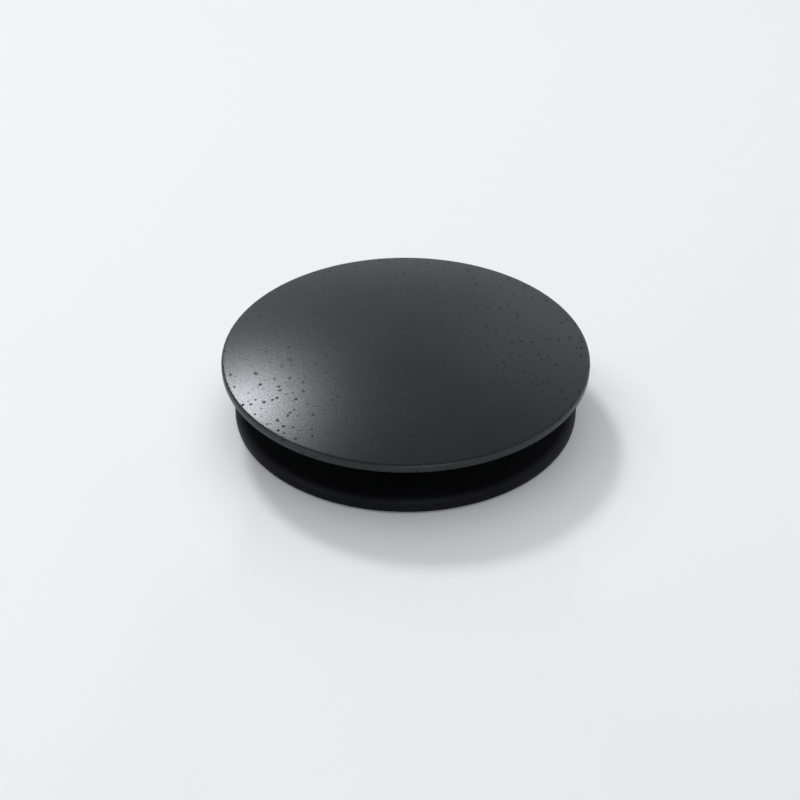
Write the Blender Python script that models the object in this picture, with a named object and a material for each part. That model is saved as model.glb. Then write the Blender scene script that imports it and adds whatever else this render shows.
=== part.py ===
# Push-to-close pop-up waste for a washbasin, with its cap up.
# Metres, +Z up. The origin is on the drain's axis, at the basin's surface under the flange.
# Blender 4.5: blender --background --python part.py

import math

import bmesh
import bpy
from mathutils import Vector

# Between two pieces that touch
GAP = 0.0003

# Flange and throat
FLANGE_OVERHANG = 0.01005
FLANGE_TOP = 0.003
FLANGE_LIFT = 0.0004
FLANGE_ROUND = 0.0014
FLANGE_SKIRT = 0.0012
THROAT_WIDTH = 0.0042
THROAT_ROUND = 0.0005

# Threaded barrel of the body, 1 1/4 inch pipe thread
THREAD_RADIUS = 0.02095
BODY_WALL = 0.00127
THREAD_DEPTH = 0.00148
THREAD_PITCH = 0.002309
THREAD_START = 0.006
THREAD_RELIEF = 0.0012
NUT_THREAD_CLEARANCE = 0.0005

# Overflow windows through the barrel
WINDOW_COUNT = 4
WINDOW_WIDTH = 0.012
WINDOW_HEIGHT = 0.015
WINDOW_DEPTH = 0.009
WINDOW_ROUND = 0.003

# Cross bridge inside the barrel
BRIDGE_ARM_WIDTH = 0.003
BRIDGE_THICKNESS = 0.0045
BRIDGE_EMBED = 0.0006
BRIDGE_TO_SOCKET = 0.003

# Socket and tailpiece, 1 1/4 inch tube
SOCKET_DEPTH = 0.010
SOCKET_WALL = 0.003295
COLLAR_CHAMFER = 0.0006
TAIL_WALL = 0.001
TAIL_DROP = 0.200
TAIL_BEAD_WIDTH = 0.003025
TAIL_BEAD_HEIGHT = 0.002
TAIL_SEAL_THICKNESS = 0.0018

# Cap
CAP_SIDE_CLEARANCE = 0.0006
CAP_LIP_WIDTH = 0.0014
CAP_LIP_DROP = 0.001
CAP_EDGE_HEIGHT = 0.0015
CAP_EDGE_ROUND = 0.0004
CAP_DOME_RISE = 0.003
CAP_BOSS_RADIUS = 0.0061
CAP_BOSS_LENGTH = 0.0024
CAP_HOLE_DEPTH = 0.004

# How far the cap goes down, and what is left under it then
TRAVEL = 0.008
PRESSED_GAP = 0.0004
SEAT_CLEARANCE = 0.0005

# Seal and its carrier
SEAL_INSET = 0.0016
SEAL_BEVEL = 0.0014
CARRIER_LIP_WIDTH = 0.0012
CARRIER_LIP_THICKNESS = 0.0008
CARRIER_WALL = 0.0015
CARRIER_WEB = 0.0017
CARRIER_HUB_RADIUS = 0.0084
CARRIER_HUB_FLOOR = 0.0029

# Rod and what is on it
ROD_RADIUS = 0.003
ROD_END_CLEARANCE = 0.0003
ROD_CHAMFER = 0.0005
ROD_TAIL = 0.0015
JAM_NUT_FLATS = 0.010
JAM_NUT_HEIGHT = 0.0028
STOP_HEIGHT = 0.0022
STOP_CLEARANCE = 0.0008
THRUST_WASHER_THICKNESS = 0.001
CLIP_THICKNESS = 0.0008
CLIP_RADIUS = 0.0043
CLIP_OPENING_SHARE = 0.18
CLIP_GROOVE_DEPTH = 0.0007

# Cartridge
BARREL_RADIUS = 0.0075
BARREL_WALL = 0.0012
BUSH_CLEARANCE = 0.0006
BUSH_FLANGE = 0.002
BUSH_LENGTH = 0.0051
BUSH_GROOVE_DEPTH = 0.0017
BUSH_GROOVE_DROP = 0.003
PLUG_LENGTH = 0.0041
PLUG_FLANGE = 0.002
PLUG_SPIGOT_RADIUS = 0.004
PLUG_SPIGOT_HEIGHT = 0.003
STUD_RADIUS = 0.003
STUD_TAIL = 0.0015
STUD_WASHER_RADIUS = 0.0062
STUD_WASHER_THICKNESS = 0.001
STUD_NUT_FLATS = 0.010
STUD_NUT_HEIGHT = 0.004

# Index cam: places on one lobe of the groove, as shares of the lobe's turn and of the travel
CAM_LOBES = 4
CAM_PATH_SHARES = ((0, 0), (0.28, 1), (0.5, 0.875), (0.72, 1), (1, 0))
CAM_STEPS = 72
CAM_WALL_SAMPLES = 12
CAM_WALL = 0.0015
CAM_GROOVE_HALF_WIDTH = 0.0013
CAM_FLOOR_CLEARANCE = 0.0008
PIN_RADIUS = 0.00075
PIN_REACH = 0.0011

# Return spring
SPRING_WIRE_RADIUS = 0.0005
SPRING_CLEARANCE = 0.0006
SPRING_LENGTH = 0.0205
SPRING_TURNS = 8
SPRING_POINTS_PER_TURN = 9
SPRING_END_PITCH = 0.0016

# Rings and washers that clamp the basin
GASKET_THICKNESS = 0.0015
GASKET_CLEARANCE = 0.00155
BASIN_THICKNESS = 0.034
WASHER_CLEARANCE = 0.0005
CONE_TOP_WIDTH = 0.0022
CONE_BOTTOM_WIDTH = 0.0062
CONE_HEIGHT = 0.009
CONE_EDGE = 0.0025
SLIP_WASHER_THICKNESS = 0.0015
SLIP_WASHER_OVERHANG = 0.0004
LOCK_NUT_WALL = 0.00455
LOCK_NUT_TURNS = 3
LOCK_NUT_CHAMFER = 0.001

# Fineness
STEPS = 32
CAP_STEPS = 48
SMALL_STEPS = 20
ROUND_STEPS = 3
RING_POINTS = 6
DOME_STEPS = 5
WELD = 0.000002
OVERRUN = 0.002
SHARP_ANGLE = math.radians(32)

# Radii that follow from the sizes above
FLANGE_RADIUS = THREAD_RADIUS + FLANGE_OVERHANG
THREAD_ROOT = THREAD_RADIUS - THREAD_DEPTH
BORE_RADIUS = THREAD_ROOT - BODY_WALL
THROAT_RADIUS = BORE_RADIUS + THROAT_WIDTH
SEAL_RADIUS = THROAT_RADIUS - SEAL_INSET
TAIL_RADIUS = THREAD_ROOT - SOCKET_WALL - GAP
TAIL_BEAD_RADIUS = TAIL_RADIUS + TAIL_BEAD_WIDTH
NUT_CREST = THREAD_RADIUS + NUT_THREAD_CLEARANCE
CAP_RADIUS = FLANGE_RADIUS + CAP_SIDE_CLEARANCE + CAP_LIP_WIDTH
ROD_HOLE = ROD_RADIUS + GAP
CARRIER_LIP_RADIUS = BORE_RADIUS - GAP
CARRIER_RADIUS = CARRIER_LIP_RADIUS - CARRIER_LIP_WIDTH
BARREL_BORE = BARREL_RADIUS - BARREL_WALL
CAM_RADIUS = BARREL_BORE - GAP
SPRING_RADIUS = BARREL_BORE - SPRING_CLEARANCE - SPRING_WIRE_RADIUS
WASHER_BORE = THREAD_RADIUS + WASHER_CLEARANCE
GASKET_BORE = THREAD_RADIUS + GASKET_CLEARANCE
GASKET_RADIUS = FLANGE_RADIUS - FLANGE_SKIRT - GAP
LOCK_NUT_FLATS = 2 * (NUT_CREST + LOCK_NUT_WALL)
CONE_RADIUS = WASHER_BORE + CONE_BOTTOM_WIDTH

# Heights from the cap down, with the cap up
CAP_UNDERSIDE = FLANGE_TOP + PRESSED_GAP + TRAVEL
CAP_LIP_BOTTOM = CAP_UNDERSIDE - CAP_LIP_DROP
CAP_EDGE_TOP = CAP_LIP_BOTTOM + CAP_EDGE_HEIGHT
CAP_BOSS_BOTTOM = CAP_UNDERSIDE - CAP_BOSS_LENGTH
CAP_HOLE_TOP = CAP_BOSS_BOTTOM + CAP_HOLE_DEPTH
SEAL_EDGE = FLANGE_TOP - SEAL_INSET + SEAT_CLEARANCE + TRAVEL
SEAL_BOTTOM = SEAL_EDGE - SEAL_BEVEL
SEAL_TOP = CAP_UNDERSIDE - GAP
CARRIER_LIP_TOP = SEAL_BOTTOM - GAP
CARRIER_LIP_BOTTOM = CARRIER_LIP_TOP - CARRIER_LIP_THICKNESS
CARRIER_SEAT = CAP_BOSS_BOTTOM - GAP
CARRIER_BOTTOM = CARRIER_SEAT - CARRIER_HUB_FLOOR
JAM_NUT_TOP = CARRIER_BOTTOM - GAP
JAM_NUT_BOTTOM = JAM_NUT_TOP - JAM_NUT_HEIGHT
BUSH_TOP = JAM_NUT_BOTTOM - TRAVEL - BUSH_CLEARANCE
BUSH_FLANGE_BOTTOM = BUSH_TOP - BUSH_FLANGE
BUSH_BOTTOM = BUSH_FLANGE_BOTTOM - BUSH_LENGTH
BUSH_GROOVE_TOP = BUSH_TOP - BUSH_GROOVE_DROP
ROD_SEAL_RADIUS = (BUSH_GROOVE_DEPTH - GAP) / 2
BUSH_GROOVE_BOTTOM = BUSH_GROOVE_TOP - 2 * (ROD_SEAL_RADIUS + GAP)
BARREL_TOP = BUSH_FLANGE_BOTTOM - GAP
ROD_TOP = CAP_HOLE_TOP - ROD_END_CLEARANCE
STOP_TOP = BUSH_BOTTOM - GAP
STOP_BOTTOM = STOP_TOP - STOP_HEIGHT
CAM_TOP = STOP_BOTTOM - GAP
CAM_HEIGHT = TRAVEL + 2 * (CAM_GROOVE_HALF_WIDTH + CAM_WALL)
CAM_BOTTOM = CAM_TOP - CAM_HEIGHT
PIN_HEIGHT = CAM_BOTTOM + CAM_WALL + CAM_GROOVE_HALF_WIDTH
THRUST_WASHER_TOP = CAM_BOTTOM - GAP
THRUST_WASHER_BOTTOM = THRUST_WASHER_TOP - THRUST_WASHER_THICKNESS
CLIP_TOP = THRUST_WASHER_BOTTOM - GAP
CLIP_BOTTOM = CLIP_TOP - CLIP_THICKNESS
ROD_BOTTOM = CLIP_BOTTOM - ROD_TAIL
SPRING_TOP = THRUST_WASHER_BOTTOM - GAP
SPRING_BOTTOM = SPRING_TOP - SPRING_LENGTH
PLUG_TOP = SPRING_BOTTOM - GAP
BARREL_BOTTOM = PLUG_TOP - PLUG_LENGTH
PLUG_FLANGE_TOP = BARREL_BOTTOM - GAP
PLUG_BOTTOM = PLUG_FLANGE_TOP - PLUG_FLANGE
BRIDGE_TOP = PLUG_BOTTOM - GAP
BRIDGE_BOTTOM = BRIDGE_TOP - BRIDGE_THICKNESS
STUD_WASHER_TOP = BRIDGE_BOTTOM - GAP
STUD_NUT_TOP = STUD_WASHER_TOP - STUD_WASHER_THICKNESS - GAP
STUD_NUT_BOTTOM = STUD_NUT_TOP - STUD_NUT_HEIGHT
STUD_BOTTOM = STUD_NUT_BOTTOM - STUD_TAIL

# Heights of the body and below it
SOCKET_TOP = BRIDGE_BOTTOM - BRIDGE_TO_SOCKET
BODY_BOTTOM = SOCKET_TOP - SOCKET_DEPTH
THREAD_TOP = -THREAD_START
THREAD_TURNS = math.floor((THREAD_TOP - SOCKET_TOP) / THREAD_PITCH)
THREAD_BOTTOM = THREAD_TOP - THREAD_TURNS * THREAD_PITCH
TAIL_SEAL_TOP = BODY_BOTTOM - GAP
TAIL_BEAD_TOP = TAIL_SEAL_TOP - TAIL_SEAL_THICKNESS - GAP
TAIL_TOP = SOCKET_TOP - GAP

# Heights of the clamping pieces
CONE_TOP = -BASIN_THICKNESS
SLIP_WASHER_TOP = CONE_TOP - CONE_HEIGHT - GAP
LOCK_NUT_TOP = SLIP_WASHER_TOP - SLIP_WASHER_THICKNESS - GAP
LOCK_NUT_HEIGHT = LOCK_NUT_TURNS * THREAD_PITCH + 2 * LOCK_NUT_CHAMFER
LOCK_NUT_BOTTOM = LOCK_NUT_TOP - LOCK_NUT_HEIGHT


def finish(name, colour, roughness, metallic):
    material = bpy.data.materials.new(name)
    material.use_nodes = True
    shader = material.node_tree.nodes["Principled BSDF"]
    shader.inputs["Base Color"].default_value = (*colour, 1)
    shader.inputs["Roughness"].default_value = roughness
    shader.inputs["Metallic"].default_value = metallic
    material.diffuse_color = (*colour, 1)
    return material


def add_axis(name, height, parent=None):
    """An empty on the drain's axis, which carries the pieces that move together."""
    axis = bpy.data.objects.new(name, None)
    bpy.context.scene.collection.objects.link(axis)
    axis.parent = parent
    axis.location.z = height - (parent.matrix_world.translation.z if parent else 0)
    bpy.context.view_layer.update()
    return axis


def add_piece(name, shape, base, look, axis=None):
    """Makes an object from a shape whose own zero height lies at base."""
    bmesh.ops.remove_doubles(shape, verts=shape.verts, dist=WELD)
    bmesh.ops.recalc_face_normals(shape, faces=shape.faces)
    mesh = bpy.data.meshes.new(name)
    shape.to_mesh(mesh)
    shape.free()
    mesh.shade_smooth()
    mesh.set_sharp_from_angle(angle=SHARP_ANGLE)
    piece = bpy.data.objects.new(name, mesh)
    bpy.context.scene.collection.objects.link(piece)
    piece.parent = axis
    piece.location.z = base - (axis.matrix_world.translation.z if axis else 0)
    if look:
        mesh.materials.append(finish(name, *look))
    return piece


def add_cutter(name, shape, base):
    cutter = add_piece(name, shape, base, None)
    cutter.hide_render = True
    cutter.display_type = "WIRE"
    return cutter


def combine(piece, operation, other):
    modifier = piece.modifiers.new(other.name, "BOOLEAN")
    modifier.operation = operation
    modifier.object = other


def arc(radius, height, size, start, end, steps=ROUND_STEPS):
    """Points of a round in an outline, from its centre, its size and two angles in degrees."""
    points = []
    for step in range(steps + 1):
        angle = math.radians(start + (end - start) * step / steps)
        points.append((radius + size * math.cos(angle), height + size * math.sin(angle)))
    return points


def circle(radius, height, size):
    """Outline of a round ring's section."""
    return arc(radius, height, size, 0, 360 * (1 - 1 / RING_POINTS), RING_POINTS - 1)


def turned(outline, base, steps=STEPS):
    """Spins an outline of radii and heights. It closes on itself unless it starts and ends on the axis."""
    shape = bmesh.new()
    points = [shape.verts.new((radius, 0, height - base)) for radius, height in outline]
    edges = [shape.edges.new(pair) for pair in zip(points, points[1:])]
    if outline[0][0] > 0:
        edges.append(shape.edges.new((points[-1], points[0])))
    bmesh.ops.spin(
        shape, geom=points + edges, cent=(0, 0, 0), axis=(0, 0, 1),
        angle=math.tau, steps=steps, use_merge=True,
    )
    return shape


def turned_piece(name, outline, base, look, axis=None, steps=STEPS):
    return add_piece(name, turned(outline, base, steps), base, look, axis)


def ring(inner, outer, bottom, top):
    return [(inner, top), (outer, top), (outer, bottom), (inner, bottom)]


def cylinder(radius, depth, steps=SMALL_STEPS):
    """A closed cylinder round +Z, with its middle at zero."""
    shape = bmesh.new()
    bmesh.ops.create_cone(
        shape, cap_ends=True, segments=steps, radius1=radius, radius2=radius, depth=depth
    )
    return shape


def box(width, length, height):
    shape = bmesh.new()
    bmesh.ops.create_cube(shape, size=1)
    bmesh.ops.scale(shape, vec=(width, length, height), verts=shape.verts)
    return shape


def extend(shape, edges, radius, height):
    """Extrudes a ring of edges to a new radius and height, each a number or a rule of the angle."""
    made = bmesh.ops.extrude_edge_only(shape, edges=edges)["geom"]
    points = [part for part in made if isinstance(part, bmesh.types.BMVert)]
    for point in points:
        angle = math.atan2(point.co.y, point.co.x)
        new_radius = radius(angle) if callable(radius) else radius
        point.co.x = new_radius * math.cos(angle)
        point.co.y = new_radius * math.sin(angle)
        point.co.z = height(angle) if callable(height) else height
    new = set(points)
    return [part for part in made if isinstance(part, bmesh.types.BMEdge) and new.issuperset(part.verts)]


def thread_end(crest):
    """Radius of a thread where a level plane cuts it, as a rule of the angle."""
    return lambda angle: crest - THREAD_DEPTH * abs(angle) / math.pi


def threaded_wall(crest, turns):
    """A right-hand V thread from zero height up, cut level at both ends. Returns it with its upper rim."""
    shape = bmesh.new()
    root = crest - THREAD_DEPTH
    start = -THREAD_PITCH - THREAD_PITCH / 2
    profile = [(root, start), (crest, start + THREAD_PITCH / 2), (root, start + THREAD_PITCH)]
    points = [shape.verts.new((radius, 0, height)) for radius, height in profile]
    edges = [shape.edges.new(pair) for pair in zip(points, points[1:])]
    loops = turns + 3
    bmesh.ops.spin(
        shape, geom=points + edges, cent=(0, 0, 0), axis=(0, 0, 1), angle=math.tau * loops,
        dvec=(0, 0, THREAD_PITCH / STEPS), steps=STEPS * loops,
    )
    bmesh.ops.remove_doubles(shape, verts=shape.verts, dist=WELD)
    top = turns * THREAD_PITCH
    for height, upward in ((0, False), (top, True)):
        bmesh.ops.bisect_plane(
            shape, geom=shape.verts[:] + shape.edges[:] + shape.faces[:], dist=WELD,
            plane_co=(0, 0, height), plane_no=(0, 0, 1), clear_outer=upward, clear_inner=not upward,
        )
    rim = [edge for edge in shape.edges if edge.is_boundary and edge.verts[0].co.z > top - WELD]
    return shape, rim


def hexagon(flats):
    """Radius of a hexagon of a width across flats, as a rule of the angle."""
    sector = math.tau / 6
    return lambda angle: flats / 2 / math.cos((angle % sector) - sector / 2)


def hex_corner(flats, level, direction):
    """Height of a nut's face where a cone takes its corners off."""
    radius = hexagon(flats)
    slope = math.tan(math.radians(30))
    return lambda angle: level + direction * slope * (radius(angle) - flats / 2)


def close_nut(shape, rim, flats, height, inner_radius):
    """Carries a nut's upper inner rim over its top, down its flats and back to the lower inner edge."""
    rim = extend(shape, rim, inner_radius, height)
    rim = extend(shape, rim, flats / 2, height)
    rim = extend(shape, rim, hexagon(flats), hex_corner(flats, height, -1))
    rim = extend(shape, rim, hexagon(flats), hex_corner(flats, 0, 1))
    rim = extend(shape, rim, flats / 2, 0)
    return extend(shape, rim, inner_radius, 0)


def plain_nut(name, flats, bore, top, height, look, axis=None):
    shape = bmesh.new()
    bmesh.ops.create_circle(shape, cap_ends=False, segments=SMALL_STEPS, radius=bore)
    bmesh.ops.translate(shape, vec=(0, 0, height - ROD_CHAMFER), verts=shape.verts)
    rim = close_nut(shape, shape.edges[:], flats, height, bore + ROD_CHAMFER)
    rim = extend(shape, rim, bore, ROD_CHAMFER)
    extend(shape, rim, bore, height - ROD_CHAMFER)
    return add_piece(name, shape, top - height, look, axis)


def drain_body():
    """Flange, throat, threaded barrel and socket in one casting, with windows and a cross bridge."""
    shape, rim = threaded_wall(THREAD_RADIUS, THREAD_TURNS)
    recess = GASKET_THICKNESS + GAP
    socket = TAIL_RADIUS + GAP
    outline = [
        (THREAD_ROOT, THREAD_TOP + THREAD_RELIEF / 2),
        (THREAD_ROOT, THREAD_TOP + THREAD_RELIEF),
        (THREAD_RADIUS, THREAD_TOP + THREAD_RELIEF + THREAD_DEPTH),
        (THREAD_RADIUS, recess),
        (FLANGE_RADIUS - FLANGE_SKIRT, recess),
        (FLANGE_RADIUS - FLANGE_SKIRT, FLANGE_LIFT),
        (FLANGE_RADIUS - GAP, FLANGE_LIFT),
        (FLANGE_RADIUS, FLANGE_LIFT + GAP),
    ]
    outline += arc(FLANGE_RADIUS - FLANGE_ROUND, FLANGE_TOP - FLANGE_ROUND, FLANGE_ROUND, 0, 90)
    throat_bottom = FLANGE_TOP - THROAT_WIDTH
    outline += [
        (THROAT_RADIUS + THROAT_ROUND, FLANGE_TOP),
        (THROAT_RADIUS - THROAT_ROUND, FLANGE_TOP - THROAT_ROUND),
        (BORE_RADIUS + THROAT_ROUND, throat_bottom + THROAT_ROUND),
        (BORE_RADIUS, throat_bottom - THROAT_ROUND),
        (BORE_RADIUS, SOCKET_TOP + BORE_RADIUS - socket),
        (socket, SOCKET_TOP),
        (socket, BODY_BOTTOM + COLLAR_CHAMFER),
        (socket + COLLAR_CHAMFER, BODY_BOTTOM),
        (THREAD_ROOT - COLLAR_CHAMFER, BODY_BOTTOM),
        (THREAD_ROOT, BODY_BOTTOM + COLLAR_CHAMFER),
        (THREAD_ROOT, THREAD_BOTTOM - THREAD_RELIEF / 2),
        (thread_end(THREAD_RADIUS), THREAD_BOTTOM),
    ]
    for radius, height in outline:
        rim = extend(shape, rim, radius, height - THREAD_BOTTOM)
    body = add_piece("drain_body", shape, THREAD_BOTTOM, ((0.02, 0.02, 0.021), 0.42, 0.3))

    middle = (BRIDGE_TOP + BRIDGE_BOTTOM) / 2
    across = 2 * (BORE_RADIUS + BRIDGE_EMBED)
    for number in range(2):
        arm = box(across, BRIDGE_ARM_WIDTH, BRIDGE_THICKNESS)
        bar = add_cutter(f"bridge_bar_{number + 1}", arm, middle)
        bar.rotation_euler.z = math.tau / 8 + number * math.tau / 4
        combine(body, "UNION", bar)
    hub = add_cutter("bridge_hub", cylinder(BARREL_RADIUS, BRIDGE_THICKNESS), middle)
    combine(body, "UNION", hub)
    hole = add_cutter("stud_hole", cylinder(STUD_RADIUS + GAP, BRIDGE_THICKNESS + OVERRUN), middle)
    combine(body, "DIFFERENCE", hole)

    window_middle = -WINDOW_DEPTH - WINDOW_HEIGHT / 2
    for number in range(WINDOW_COUNT):
        window = box(2 * (THREAD_RADIUS + OVERRUN - BORE_RADIUS), WINDOW_WIDTH, WINDOW_HEIGHT)
        upright = [edge for edge in window.edges if edge.verts[0].co.x * edge.verts[1].co.x < 0]
        bmesh.ops.bevel(
            window, geom=upright, offset=WINDOW_ROUND, segments=2, profile=0.5, affect="EDGES",
            offset_type="OFFSET", clamp_overlap=True,
        )
        cutter = add_cutter(f"overflow_window_{number + 1}", window, window_middle)
        angle = number * math.tau / WINDOW_COUNT
        cutter.rotation_euler.z = angle
        cutter.location.x = (BORE_RADIUS + THREAD_RADIUS) / 2 * math.cos(angle)
        cutter.location.y = (BORE_RADIUS + THREAD_RADIUS) / 2 * math.sin(angle)
        combine(body, "DIFFERENCE", cutter)


def clamping_pieces(clamp_axis, nut_axis):
    """Gasket under the flange, and the washers and nut that draw the drain down on the basin."""
    turned_piece(
        "flange_gasket", ring(GASKET_BORE, GASKET_RADIUS, 0, GASKET_THICKNESS),
        0, ((0.012, 0.012, 0.012), 0.75, 0),
    )
    cone_bottom = CONE_TOP - CONE_HEIGHT
    turned_piece(
        "cone_washer",
        [
            (WASHER_BORE, CONE_TOP),
            (WASHER_BORE + CONE_TOP_WIDTH, CONE_TOP),
            (CONE_RADIUS, cone_bottom + CONE_EDGE),
            (CONE_RADIUS, cone_bottom),
            (WASHER_BORE, cone_bottom),
        ],
        cone_bottom, ((0.015, 0.015, 0.015), 0.7, 0), clamp_axis,
    )
    bottom = SLIP_WASHER_TOP - SLIP_WASHER_THICKNESS
    turned_piece(
        "slip_washer", ring(WASHER_BORE, CONE_RADIUS + SLIP_WASHER_OVERHANG, bottom, SLIP_WASHER_TOP),
        bottom, ((0.75, 0.74, 0.70), 0.45, 0), clamp_axis,
    )
    lock_nut(nut_axis)


def lock_nut(axis):
    """Hex nut whose thread is turned into step with the body's."""
    shape, rim = threaded_wall(NUT_CREST, LOCK_NUT_TURNS)
    bmesh.ops.translate(shape, vec=(0, 0, LOCK_NUT_CHAMFER), verts=shape.verts)
    rim = close_nut(shape, rim, LOCK_NUT_FLATS, LOCK_NUT_HEIGHT, NUT_CREST)
    extend(shape, rim, thread_end(NUT_CREST), LOCK_NUT_CHAMFER)
    nut = add_piece("lock_nut", shape, LOCK_NUT_BOTTOM, ((0.62, 0.46, 0.20), 0.3, 1), axis)
    lead = LOCK_NUT_BOTTOM + LOCK_NUT_CHAMFER - THREAD_BOTTOM
    nut.rotation_euler.z = math.tau * lead / THREAD_PITCH % math.tau


def tailpiece():
    """Thin tube that goes down to the trap, with the bead that presses its seal up."""
    bead_bottom = TAIL_BEAD_TOP - TAIL_BEAD_HEIGHT
    middle = TAIL_BEAD_TOP - TAIL_BEAD_HEIGHT / 2
    outline = [
        (TAIL_RADIUS - TAIL_WALL, TAIL_TOP),
        (TAIL_RADIUS, TAIL_TOP),
        (TAIL_RADIUS, TAIL_BEAD_TOP),
        (TAIL_BEAD_RADIUS - TAIL_BEAD_HEIGHT / 2, TAIL_BEAD_TOP),
        (TAIL_BEAD_RADIUS, middle),
        (TAIL_BEAD_RADIUS - TAIL_BEAD_HEIGHT / 2, bead_bottom),
        (TAIL_RADIUS, bead_bottom),
        (TAIL_RADIUS, -TAIL_DROP),
        (TAIL_RADIUS - TAIL_WALL, -TAIL_DROP),
    ]
    turned_piece("tailpiece", outline, -TAIL_DROP, ((0.02, 0.02, 0.021), 0.42, 0.3))
    size = TAIL_SEAL_THICKNESS / 2
    turned_piece(
        "tailpiece_seal", circle(TAIL_RADIUS + GAP + size, TAIL_SEAL_TOP - size, size),
        TAIL_SEAL_TOP - TAIL_SEAL_THICKNESS, ((0.012, 0.012, 0.012), 0.6, 0),
    )


def stopper_cap(axis):
    """Domed cap with a lip that comes down round the flange and a boss for the rod."""
    rim_radius = CAP_RADIUS - CAP_EDGE_ROUND
    sphere = (rim_radius ** 2 + CAP_DOME_RISE ** 2) / (2 * CAP_DOME_RISE)
    centre = CAP_EDGE_TOP + CAP_DOME_RISE - sphere
    reach = math.asin(rim_radius / sphere)
    outline = [(0, CAP_EDGE_TOP + CAP_DOME_RISE)]
    for step in range(1, DOME_STEPS):
        angle = reach * step / DOME_STEPS
        outline.append((sphere * math.sin(angle), centre + sphere * math.cos(angle)))
    slope = 90 - math.degrees(reach)
    outline += arc(rim_radius, CAP_EDGE_TOP - CAP_EDGE_ROUND, CAP_EDGE_ROUND, slope, 0)
    outline += [
        (CAP_RADIUS, CAP_LIP_BOTTOM + CAP_EDGE_ROUND / 2),
        (CAP_RADIUS - CAP_EDGE_ROUND / 2, CAP_LIP_BOTTOM),
        (CAP_RADIUS - CAP_LIP_WIDTH, CAP_LIP_BOTTOM),
        (CAP_RADIUS - CAP_LIP_WIDTH, CAP_UNDERSIDE),
        (CAP_BOSS_RADIUS, CAP_UNDERSIDE),
        (CAP_BOSS_RADIUS, CAP_BOSS_BOTTOM),
        (ROD_HOLE, CAP_BOSS_BOTTOM),
        (ROD_HOLE, CAP_HOLE_TOP),
        (0, CAP_HOLE_TOP),
    ]
    turned_piece(
        "stopper_cap", outline, CAP_LIP_BOTTOM, ((0.028, 0.028, 0.030), 0.38, 0.4), axis, CAP_STEPS
    )


def seal_and_carrier(axis):
    """Plastic drum under the cap, and the rubber ring that it holds up against the cap."""
    seal_inner = CARRIER_RADIUS + GAP
    turned_piece(
        "cap_seal",
        [
            (seal_inner, SEAL_TOP),
            (SEAL_RADIUS, SEAL_TOP),
            (SEAL_RADIUS, SEAL_EDGE),
            (SEAL_RADIUS - SEAL_BEVEL, SEAL_BOTTOM),
            (seal_inner, SEAL_BOTTOM),
        ],
        SEAL_BOTTOM, ((0.012, 0.012, 0.012), 0.65, 0), axis,
    )
    socket = CAP_BOSS_RADIUS + GAP
    turned_piece(
        "seal_carrier",
        [
            (socket, SEAL_TOP),
            (CARRIER_RADIUS, SEAL_TOP),
            (CARRIER_RADIUS, CARRIER_LIP_TOP),
            (CARRIER_LIP_RADIUS, CARRIER_LIP_TOP),
            (CARRIER_LIP_RADIUS, CARRIER_LIP_BOTTOM),
            (CARRIER_RADIUS - CARRIER_WALL, CARRIER_LIP_BOTTOM),
            (CARRIER_RADIUS - CARRIER_WALL, SEAL_TOP - CARRIER_WEB),
            (CARRIER_HUB_RADIUS, SEAL_TOP - CARRIER_WEB),
            (CARRIER_HUB_RADIUS, CARRIER_BOTTOM),
            (ROD_HOLE, CARRIER_BOTTOM),
            (ROD_HOLE, CARRIER_SEAT),
            (socket, CARRIER_SEAT),
        ],
        CARRIER_BOTTOM, ((0.03, 0.03, 0.032), 0.5, 0), axis,
    )


def rod_and_fasteners(axis):
    """Push rod with its stop collar, the nut that locks the cap and the clip on the lower end."""
    stop_radius = BARREL_BORE - STOP_CLEARANCE
    groove = ROD_RADIUS - CLIP_GROOVE_DEPTH
    turned_piece(
        "push_rod",
        [
            (0, ROD_TOP),
            (ROD_RADIUS - ROD_CHAMFER, ROD_TOP),
            (ROD_RADIUS, ROD_TOP - ROD_CHAMFER),
            (ROD_RADIUS, STOP_TOP),
            (stop_radius, STOP_TOP),
            (stop_radius, STOP_BOTTOM),
            (ROD_RADIUS, STOP_BOTTOM),
            (ROD_RADIUS, CLIP_TOP + GAP),
            (groove, CLIP_TOP + GAP),
            (groove, CLIP_BOTTOM - GAP),
            (ROD_RADIUS, CLIP_BOTTOM - GAP),
            (ROD_RADIUS, ROD_BOTTOM + ROD_CHAMFER),
            (ROD_RADIUS - ROD_CHAMFER, ROD_BOTTOM),
            (0, ROD_BOTTOM),
        ],
        ROD_BOTTOM, ((0.60, 0.60, 0.62), 0.25, 1), axis, SMALL_STEPS,
    )
    plain_nut(
        "jam_nut", JAM_NUT_FLATS, ROD_HOLE, JAM_NUT_TOP, JAM_NUT_HEIGHT, ((0.62, 0.46, 0.20), 0.3, 1), axis
    )

    shape = bmesh.new()
    corners = ring(groove + GAP, CLIP_RADIUS, 0, CLIP_THICKNESS)
    points = [shape.verts.new((radius, 0, height)) for radius, height in corners]
    section = shape.faces.new(points)
    bmesh.ops.spin(
        shape, geom=[*points, *section.edges, section], cent=(0, 0, 0), axis=(0, 0, 1),
        angle=math.tau * (1 - CLIP_OPENING_SHARE), steps=SMALL_STEPS // 2,
    )
    add_piece("retaining_clip", shape, CLIP_BOTTOM, ((0.35, 0.35, 0.37), 0.3, 1), axis)


def groove_height(angle):
    """Height of the groove's middle over its lowest place, at an angle round the cam."""
    part = angle * CAM_LOBES / math.tau % 1
    for (turn, rise), (next_turn, next_rise) in zip(CAM_PATH_SHARES, CAM_PATH_SHARES[1:]):
        if part <= next_turn:
            return TRAVEL * (rise + (next_rise - rise) * (part - turn) / (next_turn - turn))


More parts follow.
